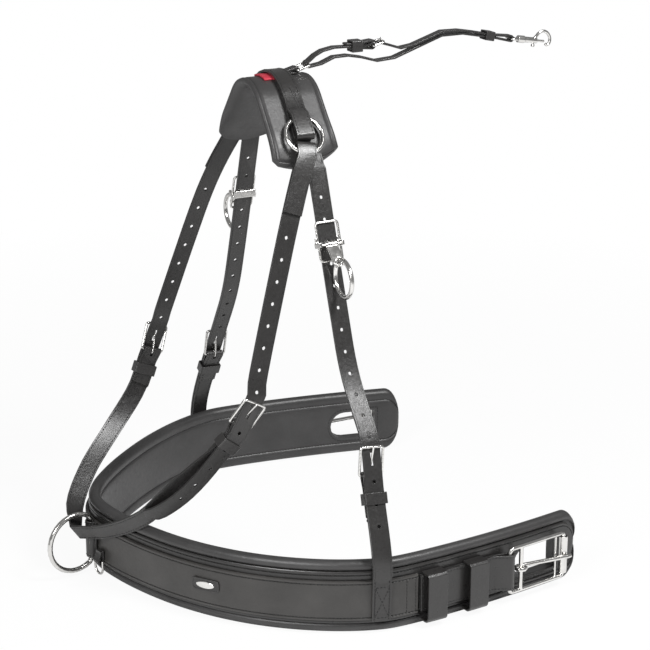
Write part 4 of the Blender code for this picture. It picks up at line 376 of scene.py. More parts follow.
def shader_of(name):
    """A new material, its tree and its surface shader."""
    paint = bpy.data.materials.new(name)
    paint.use_nodes = True
    tree = paint.node_tree
    return paint, tree, tree.nodes["Principled BSDF"]


def put(node, **values):
    """Sets a node's inputs by their names, with _ for a space."""
    for name, value in values.items():
        node.inputs[name.replace("_", " ")].default_value = value


def coordinates(tree):
    return tree.nodes.new("ShaderNodeTexCoord").outputs["Object"]


def noise(tree, where, scale, detail=2.0, roughness=0.5):
    node = tree.nodes.new("ShaderNodeTexNoise")
    put(node, Scale=scale, Detail=detail, Roughness=roughness)
    tree.links.new(where, node.inputs["Vector"])
    return node.outputs["Fac"]


def spread(tree, value, low, high, start=0.3, end=0.7):
    """Spreads a texture's range, from start to end, between two values."""
    node = tree.nodes.new("ShaderNodeMapRange")
    for socket, number in zip(node.inputs[1:5], (start, end, low, high)):
        socket.default_value = number
    tree.links.new(value, node.inputs["Value"])
    return node.outputs["Result"]


def mixed(tree, share, low, high):
    """A colour between two others, each a colour or a socket."""
    node = tree.nodes.new("ShaderNodeMix")
    node.data_type = "RGBA"
    tree.links.new(share, node.inputs["Factor"])
    for value, socket in ((low, node.inputs["A"]), (high, node.inputs["B"])):
        if isinstance(value, bpy.types.NodeSocket):
            tree.links.new(value, socket)
        else:
            socket.default_value = value
    return node.outputs["Result"]


def scaled(colour, factor):
    return tuple(min(channel * factor, 1) for channel in colour) + (1,)


def add_bump(tree, shader, heights):
    """Stacks bumps, each a texture, a strength and a depth."""
    normal = None
    for texture, strength, depth in heights:
        bump = tree.nodes.new("ShaderNodeBump")
        put(bump, Strength=strength, Distance=depth)
        tree.links.new(texture, bump.inputs["Height"])
        if normal is not None:
            tree.links.new(normal, bump.inputs["Normal"])
        normal = bump.outputs["Normal"]
    tree.links.new(normal, shader.inputs["Normal"])


def leather(name, colour, rough, pore_scale, coat, coat_rough, wrinkle):
    """Dyed leather: fine pores, soft creases and wrinkles, uneven dye and rubbed edges."""
    paint, tree, shader = shader_of(name)
    where = coordinates(tree)
    pores = tree.nodes.new("ShaderNodeTexVoronoi")
    put(pores, Scale=pore_scale)
    tree.links.new(where, pores.inputs["Vector"])
    creases = noise(tree, where, pore_scale / PORES_TO_A_CREASE, 4.0, 0.6)
    wrinkles = noise(tree, where, pore_scale / PORES_TO_A_WRINKLE, 5.0, 0.62)
    patches = noise(tree, where, DYE_PATCHES, 3.0, 0.55)
    dark, pale = (scaled(colour, shade) for shade in DYE_SHADES)
    dye = mixed(tree, spread(tree, patches, 0.0, 1.0), dark, pale)
    edges = tree.nodes.new("ShaderNodeNewGeometry").outputs["Pointiness"]
    rub = spread(tree, edges, 0.0, RUBBED_SHARE, *RUBBED_TURN)
    tree.links.new(mixed(tree, rub, dye, scaled(colour, RUBBED_SHADE)), shader.inputs["Base Color"])
    smoother, rougher = (rough + change for change in LEATHER_UNEVENNESS)
    tree.links.new(spread(tree, creases, smoother, rougher), shader.inputs["Roughness"])
    put(shader, Coat_Weight=coat, Coat_Roughness=coat_rough)
    add_bump(tree, shader, (
        (pores.outputs["Distance"], 0.22, 0.0003), (creases, 0.30, 0.0005), (wrinkles, wrinkle, 0.0012),
    ))
    return paint


def steel(name, colour, rough):
    """Polished steel with a faint brushed unevenness."""
    paint, tree, shader = shader_of(name)
    where = coordinates(tree)
    smears = noise(tree, where, STEEL_SMEARS, 3.0, 0.6)
    ripples = noise(tree, where, STEEL_RIPPLES, 2.0, 0.5)
    dark, pale = (scaled(colour, shade) for shade in STEEL_SHADES)
    tree.links.new(mixed(tree, spread(tree, ripples, 0, 1), dark, pale), shader.inputs["Base Color"])
    smoother, rougher = (rough * change for change in STEEL_UNEVENNESS)
    tree.links.new(spread(tree, smears, smoother, rougher), shader.inputs["Roughness"])
    put(shader, Metallic=1.0)
    add_bump(tree, shader, ((ripples, 0.10, 0.0004),))
    return paint


def thread(name, colour):
    """Waxed thread with its twist; the same finish paints the shade in the creases' grooves."""
    paint, tree, shader = shader_of(name)
    where = coordinates(tree)
    twist = tree.nodes.new("ShaderNodeTexWave")
    twist.bands_direction = "DIAGONAL"
    put(twist, Scale=THREAD_TWISTS)
    tree.links.new(where, twist.inputs["Vector"])
    dark, pale = (scaled(colour, shade) for shade in THREAD_SHADES)
    tree.links.new(mixed(tree, twist.outputs["Fac"], dark, pale), shader.inputs["Base Color"])
    put(shader, Roughness=THREAD_ROUGHNESS)
    add_bump(tree, shader, ((twist.outputs["Fac"], 0.4, 0.0002),))
    return paint


def make_paints(scene):
    """The finishes by the names of their slots; it makes them again on each call, since the black_leather it
    looks for is never made.
    """
    if "black_leather" in bpy.data.materials and "waxed_thread" in bpy.data.materials:
        return
    settings = scene.collar_leather
    for name, (colour, *finish) in LEATHERS.items():
        leather(name, getattr(settings, colour), *finish)
    steel("polished_steel", scene.collar_metal.colour, scene.collar_metal.roughness)
    thread("waxed_thread", settings.thread_and_crease_shade_colour)


def body_of(node):
    """The body that carries a node."""
    return frame["nodes"][node]["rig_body"]


def set_piece(name, mesh, paint, body, *nodes):
    """Links a finished mesh as a piece that rides on a body and stands for its nodes."""
    obj = bpy.data.objects.new(name, mesh)
    mesh.materials.clear()
    mesh.materials.append(bpy.data.materials[paint])
    bpy.context.scene.collection.objects.link(obj)
    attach(obj, body)
    if nodes:
        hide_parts(*nodes)
    return obj


def shade_smooth(mesh, limit=None):
    """Smooth shading, with the edges over a limit left sharp."""
    mesh.polygons.foreach_set("use_smooth", [True] * len(mesh.polygons))
    if limit is not None:
        mesh.set_sharp_from_angle(angle=limit)


def evaluated_mesh(obj, name):
    """The mesh of an object with its modifiers applied, and the object removed."""
    graph = bpy.context.evaluated_depsgraph_get()
    mesh = bpy.data.meshes.new_from_object(obj.evaluated_get(graph))
    mesh.name = name
    bpy.data.objects.remove(obj)
    return mesh


def finished_mesh(bm, name):
    """The mesh of a finished bmesh, with its faces looking out."""
    bmesh.ops.recalc_face_normals(bm, faces=bm.faces)
    mesh = bpy.data.meshes.new(name)
    bm.to_mesh(mesh)
    bm.free()
    return mesh


def join_loops(bm, loops):
    """Faces between each loop of points and the next."""
    count = len(loops[0])
    for one, two in zip(loops, loops[1:]):
        for i in range(count):
            j = (i + 1) % count
            bm.faces.new((one[i], one[j], two[j], two[i]))


def loose_object(name, mesh):
    obj = bpy.data.objects.new(name, mesh)
    bpy.context.scene.collection.objects.link(obj)
    return obj


def solid_copy(node):
    """A node's solid with its doubled points joined."""
    bm = bmesh.new()
    bm.from_mesh(frame["nodes"][node].data)
    bmesh.ops.remove_doubles(bm, verts=bm.verts, dist=SAME_POINT)
    bmesh.ops.recalc_face_normals(bm, faces=bm.faces)
    return bm


# The band


def band_corner(i, out):
    along, x, y, out_x, out_y = BAND_CORNERS[i]
    return Vector((x + out_x * out, y + out_y * out, 0))


def band_place(along, out, height):
    """A place by the band's line, which touches the middle of each flat stretch of the solid."""
    last = len(BAND_CORNERS) - 1
    middles = [(BAND_CORNERS[i][0] + BAND_CORNERS[i + 1][0]) / 2 for i in range(last)]
    if along <= middles[0] or along >= middles[-1]:
        i = 0 if along <= middles[0] else last - 1
        share = (along - BAND_CORNERS[i][0]) / (BAND_CORNERS[i + 1][0] - BAND_CORNERS[i][0])
        flat = band_corner(i, out).lerp(band_corner(i + 1, out), share)
    else:
        i = next(i for i in range(1, last) if along < middles[i])
        t = (along - middles[i - 1]) / (middles[i] - middles[i - 1])
        corner = band_corner(i, out)
        start = band_corner(i - 1, out).lerp(corner, 0.5)
        end = corner.lerp(band_corner(i + 1, out), 0.5)
        flat = start * (1 - t) ** 2 + corner * 2 * t * (1 - t) + end * t**2
    return flat + UP * (BAND_Z + height)


def band_out(along):
    """The way out from the band's line."""
    return (band_place(along, 0.01, 0) - band_place(along, 0, 0)).normalized()


def band_stations(low, high, rounding):
    """Places along the band, closer together where its ends are rounded."""
    inner_low, inner_high = low + rounding, high - rounding
    count = round((inner_high - inner_low) / BAND_STEP)
    middle = [inner_low + (inner_high - inner_low) * i / count for i in range(count + 1)]
    turns = [math.pi / 2 * i / END_STEPS for i in range(1, END_STEPS)] if rounding else []
    first = [inner_low - rounding * math.sin(turn) for turn in reversed(turns)]
    return first + middle + [inner_high + rounding * math.sin(turn) for turn in turns]


def sweep_band(name, half_section, low, high, rounding, drop=0.0):
    """A closed section swept along the band, with rounded or square ends."""
    section = list(half_section) + [(out, -up) for out, up in reversed(half_section[1:-1])]
    outs = [out for out, _ in section]
    middle_out = (min(outs) + max(outs)) / 2
    thick = max(outs) - min(outs)
    stations = band_stations(low, high, rounding)
    bm = bmesh.new()
    loops = []
    for s in stations:
        inside = min(s - low, high - s)
        tall = flat = 1.0
        if inside < rounding:
            tall = math.sqrt(max(1 - (1 - inside / rounding) ** 2, 0))
        if rounding and inside < thick / 2:
            flat = math.sqrt(max(1 - (1 - inside / (thick / 2)) ** 2, BAND_END_LEAST))
        loops.append([
            bm.verts.new(band_place(s, middle_out + (out - middle_out) * flat, up * tall - drop))
            for out, up in section
        ])
    join_loops(bm, loops)
    bm.faces.new(list(reversed(loops[0])))
    bm.faces.new(loops[-1])
    return finished_mesh(bm, name)


def window_outline(end, direction, margin=0.0):
    """The window behind the trace buckle, as places along and up."""
    front = end - direction * (WINDOW_FRONT_FROM_END + margin)
    rear = end - direction * (WINDOW_REAR_FROM_END - margin)
    half = WINDOW_HEIGHT / 2 + margin
    points = [(rear, -half - TUG_DROP), (rear, half - TUG_DROP)]
    centre = front + direction * half
    for i in range(WINDOW_STEPS + 1):
        angle = math.pi / 2 + math.pi * i / WINDOW_STEPS
        points.append((centre + direction * half * math.cos(angle), half * math.sin(angle) - TUG_DROP))
    return points


def window_cutter(name, end, direction):
    outline = window_outline(end, direction)
    bm = bmesh.new()
    rims = []
    for out in WINDOW_CUT:
        rims.append([bm.verts.new(band_place(s, out, up)) for s, up in outline])
    join_loops(bm, rims)
    bm.faces.new(list(reversed(rims[0])))
    bm.faces.new(rims[1])
    return loose_object(name, finished_mesh(bm, name))


def cut_windows(mesh, name):
    """Cuts both trace windows through a band layer."""
    obj = loose_object(name + "_block", mesh)
    cutters = [window_cutter("near_window", BAND_NEAR_END, 1), window_cutter("far_window", BAND_FAR_END, -1)]
    for cutter in cutters:
        cut = obj.modifiers.new(cutter.name, "BOOLEAN")
        cut.operation = "DIFFERENCE"
        cut.solver = "EXACT"
        cut.object = cutter
    bpy.context.view_layer.update()
    result = evaluated_mesh(obj, name)
    for cutter in cutters:
        bpy.data.objects.remove(cutter)
    return result


class HARNESS_OT_padding(bpy.types.Operator):
    """Make the breast band's padding with its rolled edges and sewn channels"""

    bl_idname = "harness.padding"
    bl_label = "Band padding"

    def execute(self, context):
        make_paints(context.scene)
        name = "band_padding_soft"
        mesh = sweep_band(name, PADDING_HALF_SECTION, BAND_FAR_END, BAND_NEAR_END, END_ROUNDING)
        mesh = cut_windows(mesh, name)
        shade_smooth(mesh, SOFT_EDGE)
        piece = set_piece(name, mesh, "padding_leather", "collar", "band_padding")
        return {"FINISHED"}


class HARNESS_OT_band_leather(bpy.types.Operator):
    """Make the band's outer cover and the tug strap along it"""

    bl_idname = "harness.band_leather"
    bl_label = "Band cover and tug strap"

    def execute(self, context):
        make_paints(context.scene)
        low, high = BAND_FAR_END + COVER_END_MARGIN, BAND_NEAR_END - COVER_END_MARGIN
        cover = sweep_band("cover_leather", COVER_HALF_SECTION, low, high, END_ROUNDING)
        cover = cut_windows(cover, "cover_leather")
        shade_smooth(cover, CUT_EDGE)
        set_piece("cover_leather", cover, "strap_leather", "collar", "band_cover")
        low, high = BAND_FAR_END + TUG_END_FROM_END, BAND_NEAR_END - TUG_END_FROM_END
        tug = sweep_band("tug_leather", TUG_HALF_SECTION, low, high, 0.0, TUG_DROP)
        shade_smooth(tug, CUT_EDGE)
        set_piece("tug_leather", tug, "tug_leather", "collar", "tug_strap")
        return {"FINISHED"}


# The neck pad


def arch(x, s, height):
    """A place on the neck pad, s down from the crest, near side positive."""
    reach = abs(s)
    turn = min(reach / PAD_CROWN_RADIUS, PAD_SIDE_ANGLE)
    run = max(reach - PAD_CROWN_RADIUS * PAD_SIDE_ANGLE, 0)
    radius = PAD_CROWN_RADIUS + height
    y = radius * math.sin(turn) + run * math.cos(PAD_SIDE_ANGLE)
    z = radius * math.cos(turn) - PAD_CROWN_RADIUS - run * math.sin(PAD_SIDE_ANGLE)
    return Vector((x, -math.copysign(y, s), z))


def pad_place(u, v, below, rim=1.0):
    """A place on the neck pad's top or underside, u and v from -1 to 1 across and along it."""
    narrowing = max(abs(v) * PAD_SIDE_REACH - (PAD_SIDE_REACH - PAD_CORNER), 0)
    rearward = max(u, 0) * v**4
    x = u * (PAD_LENGTH / 2 - narrowing) + PAD_REAR_FLARE * rearward
    s = v * (PAD_SIDE_REACH + PAD_TIP_BULGE * (1 - u * u) * v * v - PAD_REAR_RAISE * rearward)
    swell = (1 - u**4) * (1 - v**6)
    top = PAD_THICK - PAD_TIP_DROP * (max(abs(v) - PAD_TIP_SHARE, 0) / (1 - PAD_TIP_SHARE)) ** 2
    if below:
        return arch(x, s, (top - PAD_EDGE_THICK) * (1 - swell))
    return arch(x, s, top - PAD_RIM_DROP * (1 - rim))


def sewn_pad_place(u, v, below):
    """A place on the neck pad with the sewn line by its rim."""
    from_rim = min((1 - abs(u)) * PAD_LENGTH / 2, (1 - abs(v)) * PAD_SIDE_REACH)
    place = pad_place(u, v, below, min(from_rim / PAD_RIM_REACH, 1))
    if below:
        return place
    out = (pad_place(u, v, False) - pad_place(u, v, True)).normalized()
    groove = math.exp(-(((from_rim - PAD_SEAM_INSET) / PAD_SEAM_WIDTH) ** 2))
    return place - out * groove * PAD_SEAM_DEPTH


def pad_shares(count):
    """Shares from -1 to 1, closer together by the rim."""
    return [math.sin(math.pi / 2 * (2 * i / count - 1)) for i in range(count + 1)]


class HARNESS_OT_neck_pad(bpy.types.Operator):
    """Make the neck pad: a crowned top with a sewn rim over a filled lining"""

    bl_idname = "harness.neck_pad"
    bl_label = "Neck pad"

    def execute(self, context):
        make_paints(context.scene)
        across, along = pad_shares(PAD_ACROSS), pad_shares(PAD_ALONG)
        bm = bmesh.new()
        layers = [
            [[bm.verts.new(sewn_pad_place(u, v, below)) for u in across] for v in along]
            for below in (False, True)
        ]
        for grid in layers:
            for i in range(len(along) - 1):
                for j in range(len(across) - 1):
                    bm.faces.new((grid[i][j], grid[i][j + 1], grid[i + 1][j + 1], grid[i + 1][j]))
        rims = []
        for grid in layers:
            right = [row[-1] for row in grid[1:]]
            left = [row[0] for row in grid[-2:0:-1]]
            rims.append(grid[0] + right + grid[-1][-2::-1] + left)
        middles = []
        for top, low in zip(*rims):
            out = (top.co - Vector((0, top.co.y * PAD_RIM_LEAN, top.co.z))).normalized()
            middles.append(bm.verts.new(top.co.lerp(low.co, 0.5) + out * PAD_RIM_BULGE))
        join_loops(bm, (rims[0], middles, rims[1]))
        mesh = finished_mesh(bm, "neck_pad_soft")
        shade_smooth(mesh, SOFT_EDGE)
        piece = set_piece("neck_pad_soft", mesh, "padding_leather", "collar", "neck_pad")
        return {"FINISHED"}


# The front plate's plaque


def band_flat(along, out, height):
    """A place by the band's line on the flat stretches of the solid."""
    last = len(BAND_CORNERS) - 2
    i = next((i for i in range(last) if BAND_CORNERS[i + 1][0] > along), last)
    share = (along - BAND_CORNERS[i][0]) / (BAND_CORNERS[i + 1][0] - BAND_CORNERS[i][0])
    return band_corner(i, out).lerp(band_corner(i + 1, out), share) + UP * (BAND_Z + height)


class HARNESS_OT_plaque(bpy.types.Operator):
    """Make the plain oval plaque that lies in the front plate"""

    bl_idname = "harness.plaque"
    bl_label = "Oval plaque"

    def execute(self, context):
        make_paints(context.scene)
        low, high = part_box("front_plate")
        height = (low.z + high.z) / 2 - BAND_Z
        bm = bmesh.new()
        loops = []
        for share, out in PLAQUE_SECTION:
            loop = []
            for i in range(PLAQUE_SIDES):
                turn = 2 * math.pi * i / PLAQUE_SIDES
                s = PLATE_ALONG + PLAQUE_HALF_LENGTH * share * math.cos(turn)
                up = PLAQUE_HALF_HEIGHT * share * math.sin(turn)
                loop.append(bm.verts.new(band_flat(s, out, height + up)))
            loops.append(loop)
        join_loops(bm, loops)
        bm.faces.new(loops[0])
        bm.faces.new(loops[-1])
        mesh = finished_mesh(bm, "oval_plaque")
        shade_smooth(mesh, PLAQUE_EDGE)
        set_piece("oval_plaque", mesh, "polished_steel", "collar")
        return {"FINISHED"}


# Straps


def rounded_piece(node, paint, radius):
    """A node's solid with its sharp edges rounded."""
    bm = solid_copy(node)
    bmesh.ops.dissolve_limit(bm, angle_limit=FLAT_TURN, verts=bm.verts, edges=bm.edges)
    bmesh.ops.recalc_face_normals(bm, faces=bm.faces)
    sharp = [edge for edge in bm.edges if edge.is_manifold and edge.calc_face_angle(0) > STRAP_EDGE]
    bmesh.ops.bevel(
        bm, geom=sharp, offset=radius, segments=2, profile=0.6, affect="EDGES", clamp_overlap=True,
    )
    name = node + "_dressed"
    mesh = finished_mesh(bm, name)
    shade_smooth(mesh)
    piece = set_piece(name, mesh, paint, body_of(node), node)
    even = piece.modifiers.new("even_shading", "WEIGHTED_NORMAL")
    even.keep_sharp = True
    return piece


class HARNESS_OT_straps(bpy.types.Operator):
    """Round the edges of every strap, chape, keeper and tab"""

    bl_idname = "harness.straps"
    bl_label = "Straps and keepers"

    def execute(self, context):
        make_paints(context.scene)
        radius = context.scene.collar_leather.edge_radius
        for node in STITCHED_STRAPS + CREASED_STRAPS + PLAIN_LEATHER:
            rounded_piece(node, "strap_leather", radius)
        rounded_piece("crest_tab", "tab_leather", radius)
        return {"FINISHED"}


# Thread


# A stitch as shares of its length and thickness, a crease's section, and the cross of a thread
STITCH_SHARES = ((0.18, 0.8), (0.5, 1.0), (0.82, 0.8))
STITCH_CROSS = ((1, 0), (0, 1), (-1, 0), (0, -1))
STITCH_LIFT = 0.35
STITCH_DIP = 0.6
CREASE_CROSS = ((1, -0.3), (0, 0.45), (-1, -0.3))
CREASE_THICKNESS_SHARE = 0.7

# How a strap's border is found: edge turn, probe inward, least length, and how well neighbours agree
BORDER_TURN = math.radians(55)
BORDER_PROBE = 0.005
BORDER_SHORTEST = 0.024
BORDER_REACH = 0.0004
SAME_FACE = 0.8
SAME_WAY = 0.72
LINE_STEP = 0.002

# Rows along the band as places out and up, and the upright rows from the tug strap's ends
PADDING_ROW = (-0.0041, 0.0290)
COVER_ROW = (0.0079, 0.0271)
TUG_ROW = (0.0124, 0.0206)
WINDOW_ROWS = ((0.0084, 1), (-0.0062, -1))
WINDOW_ROW_MARGIN = 0.004
TUG_UPRIGHTS = (0.004, 0.014)
UPRIGHT_OUT = 0.0129
UPRIGHT_HALF = 0.0200
UPRIGHT_STEPS = 6


class Line:
    """A line on a surface, with the way out at each of its points."""

    def __init__(self, points, outs):
        self.points = points
        self.outs = outs
        self.lengths = [0.0]
        for a, b in zip(points, points[1:]):
            self.lengths.append(self.lengths[-1] + (b - a).length)

    def at(self, d):
        i = next((i for i in range(len(self.points) - 2) if self.lengths[i + 1] > d), len(self.points) - 2)
        share = (d - self.lengths[i]) / (self.lengths[i + 1] - self.lengths[i])
        out = self.outs[i].lerp(self.outs[i + 1], share).normalized()
        return self.points[i].lerp(self.points[i + 1], share), out


def add_stitch(bm, start, end, out, radius):
    """One stitch: thread that rises from one hole and dips into the next."""
    along = (end - start).normalized()
    side = along.cross(out).normalized() * radius
    rise = out * radius
    rings = []
    for share, size in STITCH_SHARES:
        middle = start.lerp(end, share) + rise * (STITCH_LIFT * size)
        rings.append([bm.verts.new(middle + side * a * size + rise * b * size) for a, b in STITCH_CROSS])
    tips = [bm.verts.new(place - rise * STITCH_DIP) for place in (start, end)]
    join_loops(bm, rings)
    for i in range(4):
        bm.faces.new((tips[0], rings[0][(i + 1) % 4], rings[0][i]))
        bm.faces.new((tips[1], rings[-1][i], rings[-1][(i + 1) % 4]))


def add_row(bm, line, settings):
    """A row of stitches along a line."""
    whole = line.lengths[-1]
    count = max(round(whole / settings.stitch_pitch), 1)
    pitch = whole / count
    half = settings.stitch_length * pitch / settings.stitch_pitch / 2
    for i in range(count):
        middle = pitch * (i + 0.5)
        start, _ = line.at(middle - half)
        end, out = line.at(middle + half)
        add_stitch(bm, start, end, out, settings.thread_radius)


def add_crease(bm, line, radius):
    """A creased line, shown as a thin dark ridge that lies in the leather, with the shade of its pressed
    groove painted in the thread's black.
    """
    loops = []
    for i, point in enumerate(line.points):
        before = line.points[max(i - 1, 0)]
        after = line.points[min(i + 1, len(line.points) - 1)]
        side = (after - before).normalized().cross(line.outs[i]).normalized() * radius
        rise = line.outs[i] * radius
        loops.append([bm.verts.new(point + side * a + rise * b) for a, b in CREASE_CROSS])
    join_loops(bm, loops)
    bm.faces.new(list(reversed(loops[0])))
    bm.faces.new(loops[-1])


def finish_thread(bm, name, body):
    """Turns thread, or creases with their painted groove shade, into one piece on its body."""
    if not bm.verts:
        bm.free()
        return
    mesh = finished_mesh(bm, name)
    shade_smooth(mesh)
    set_piece(name, mesh, "waxed_thread", body)


def border_lines(node, inset):
    """Lines inside the long edges of a strap's broad faces."""
    bm = solid_copy(node)
    tree = BVHTree.FromBMesh(bm)
    borders = []
    for edge in bm.edges:
        if len(edge.link_faces) != 2 or edge.calc_face_angle(0) < BORDER_TURN:
            continue
        a, b = (vert.co for vert in edge.verts)
        middle = (a + b) / 2
        along = (b - a).normalized()
        for face in edge.link_faces:
            inward = face.normal.cross(along).normalized()
            if inward.dot(face.calc_center_median() - middle) < 0:
                inward = -inward
            _, normal, _, distance = tree.find_nearest(middle + inward * BORDER_PROBE)
            if distance < BORDER_REACH and normal.dot(face.normal) > SAME_FACE:
                borders.append((edge.verts[0].index, edge.verts[1].index, inward, face.normal.copy()))
    places = [vert.co.copy() for vert in bm.verts]
    bm.free()
    lines = chain_borders(borders, places, inset)
    return [line for line in lines if line.lengths[-1] > BORDER_SHORTEST]


def chain_borders(borders, places, inset):
    """Joins border edges end to end into lines, set in from the edge."""
    at_vert = {}
    for k, (a, b, _, _) in enumerate(borders):
        at_vert.setdefault(a, []).append(k)
        at_vert.setdefault(b, []).append(k)

    def next_edge(k, vert):
        a, b, _, normal = borders[k]
        other = b if a == vert else a
        along = (places[vert] - places[other]).normalized()
        for m in at_vert[vert]:
            if m == k or m in used:
                continue
            c, d, _, normal_m = borders[m]
            far = d if c == vert else c
            onward = (places[far] - places[vert]).normalized()
            if along.dot(onward) > SAME_WAY and normal.dot(normal_m) > SAME_WAY:
                return m, far
        return None

    used = set()
    lines = []
    for k in range(len(borders)):
        if k in used:
            continue
        used.add(k)
        verts = [borders[k][0], borders[k][1]]
        edges = [k]
        for _ in range(2):
            found = next_edge(edges[-1], verts[-1])
            while found:
                used.add(found[0])
                edges.append(found[0])
                verts.append(found[1])
                found = next_edge(*found)
            edges.reverse()
            verts.reverse()
        points, outs = [], []
        for i, vert in enumerate(verts):
            beside = [borders[edges[j]] for j in (i - 1, i) if 0 <= j < len(edges)]
            inward = sum((edge[2] for edge in beside), Vector()).normalized()
            out = sum((edge[3] for edge in beside), Vector()).normalized()
            points.append(places[vert] + inward * inset)
            outs.append(out)
        lines.append(Line(points, outs))
    return lines


def spaced(corners, with_ends):
    """Places a short step apart through corners, each corner twice where ends are wanted."""
    for (x0, z0), (x1, z1) in zip(corners, corners[1:]):
        count = max(round(math.hypot(x1 - x0, z1 - z0) / LINE_STEP), 1)
        for i in range(count + with_ends):
            yield x0 + (x1 - x0) * i / count, z0 + (z1 - z0) * i / count


def surface_line(node, corners, start_y, toward):
    """A line over a node's face, through corners along X and up, seen along Y from a start."""
    bm = solid_copy(node)
    tree = BVHTree.FromBMesh(bm)
    bm.free()
    points, outs = [], []
    for x, z in spaced(corners, False):
        point, normal, _, _ = tree.ray_cast(Vector((x, start_y, z)), Vector((0, toward, 0)))
        if point is None:
            raise RuntimeError(f"the stitched line leaves {node}")
        points.append(point)
        outs.append(normal)
    return Line(points, outs)


def chevron_place(across, down):
    """A place of the chevron along X and up."""
    return tuple(
        middle + side * across + slope * down
        for middle, side, slope in zip(CHEVRON_MIDDLE, CHEVRON_ACROSS, CHEVRON_DOWN)
    )


def crest_line(corners, side):
    """A line over the centre strap, through corners given as places across and down from the crest."""
    points, outs = [], []
    for x, down in spaced(corners, True):
        place = arch(x, side * down, CENTRE_STRAP_TOP)
        points.append(place)
        outs.append((place - arch(x, side * down, 0)).normalized())
    return Line(points, outs)


def band_row(low, high, out, height, faces_out=True):
    """A line along the band at one height."""
    count = max(round((high - low) / BAND_STEP), 1)
    stations = [low + (high - low) * i / count for i in range(count + 1)]
    turn = 1 if faces_out else -1
    return Line([band_place(s, out, height) for s in stations], [band_out(s) * turn for s in stations])


def band_upright(along, out, low, high):
    heights = [low + (high - low) * i / UPRIGHT_STEPS for i in range(UPRIGHT_STEPS + 1)]
    return Line([band_place(along, out, height) for height in heights], [band_out(along)] * len(heights))


class HARNESS_OT_band_thread(bpy.types.Operator):
    """Sew the padding, the cover and the tug strap"""

    bl_idname = "harness.band_thread"
    bl_label = "Band stitching"

    def execute(self, context):
        settings = context.scene.collar_leather
        bm = bmesh.new()
        low, high = BAND_FAR_END + END_ROUNDING, BAND_NEAR_END - END_ROUNDING
        for (out, height), faces_out in ((PADDING_ROW, False), (COVER_ROW, True)):
            for up in (-height, height):
                add_row(bm, band_row(low, high, out, up, faces_out), settings)
        for end, direction in ((BAND_NEAR_END, 1), (BAND_FAR_END, -1)):
            rim = window_outline(end, direction, WINDOW_ROW_MARGIN)
            rim.append(rim[0])
            for out, turn in WINDOW_ROWS:
                line = Line([band_place(s, out, up) for s, up in rim], [band_out(s) * turn for s, up in rim])
                add_row(bm, line, settings)
        low, high = BAND_FAR_END + TUG_END_FROM_END, BAND_NEAR_END - TUG_END_FROM_END
        out, height = TUG_ROW
        for up in (-height, height):
            add_row(bm, band_row(low, high, out, up - TUG_DROP), settings)
        for along in [low + inset for inset in TUG_UPRIGHTS] + [high - inset for inset in TUG_UPRIGHTS]:
            ends = (-UPRIGHT_HALF - TUG_DROP, UPRIGHT_HALF - TUG_DROP)
            add_row(bm, band_upright(along, UPRIGHT_OUT, *ends), settings)
        finish_thread(bm, "band_stitching", "collar")
        return {"FINISHED"}


class HARNESS_OT_strap_thread(bpy.types.Operator):
    """Sew the doubled straps and crease the single ones, painting the shade of each crease's groove"""

    bl_idname = "harness.strap_thread"
    bl_label = "Strap stitching and creases"

    def execute(self, context):
        settings = context.scene.collar_leather
        for node in STITCHED_STRAPS:
            bm = bmesh.new()
            for line in border_lines(node, settings.seam_inset):
                add_row(bm, line, settings)
            if node == "centre_strap":
                for corners in CENTRE_MARKS:
                    add_row(bm, crest_line(corners, 1), settings)
                    add_row(bm, crest_line(corners, -1), settings)
            if node in BILLET_SIDES:
                for corners in BILLET_BOX:
                    side = BILLET_SIDES[node]
                    add_row(bm, surface_line(node, corners, side * OUTSIDE_Y, -side), settings)
            if node == "vee_strap":
                for row in CHEVRON:
                    corners = [chevron_place(across, down) for across, down in row]
                    add_row(bm, surface_line(node, corners, CHEVRON_START_Y, 1), settings)
            finish_thread(bm, node + "_stitching", body_of(node))
        # Each crease is a thin ridge in the thread's black: painted shade for its pressed groove.
        for node in CREASED_STRAPS:
            bm = bmesh.new()
            for line in border_lines(node, settings.crease_inset):
                add_crease(bm, line, settings.thread_radius * CREASE_THICKNESS_SHARE)
            finish_thread(bm, node + "_creases", body_of(node))
        return {"FINISHED"}


# Metal


RING_SIDES = 96
WIRE_SIDES = 20
AXIS_GUESS = (0.3, 0.5, 0.8)
AXIS_STEPS = 60


def cast_piece(node, voxel, passes):
    """A node's solid softened like a casting."""
    obj = loose_object(node + "_block", frame["nodes"][node].data.copy())
    grain = obj.modifiers.new("grain", "REMESH")
    grain.mode = "VOXEL"
    grain.voxel_size = voxel
    soften = obj.modifiers.new("soften", "SMOOTH")
    soften.factor = 0.5
    soften.iterations = passes
    bpy.context.view_layer.update()
    mesh = evaluated_mesh(obj, node + "_cast")
    shade_smooth(mesh)
    return set_piece(node + "_cast", mesh, "polished_steel", body_of(node), node)


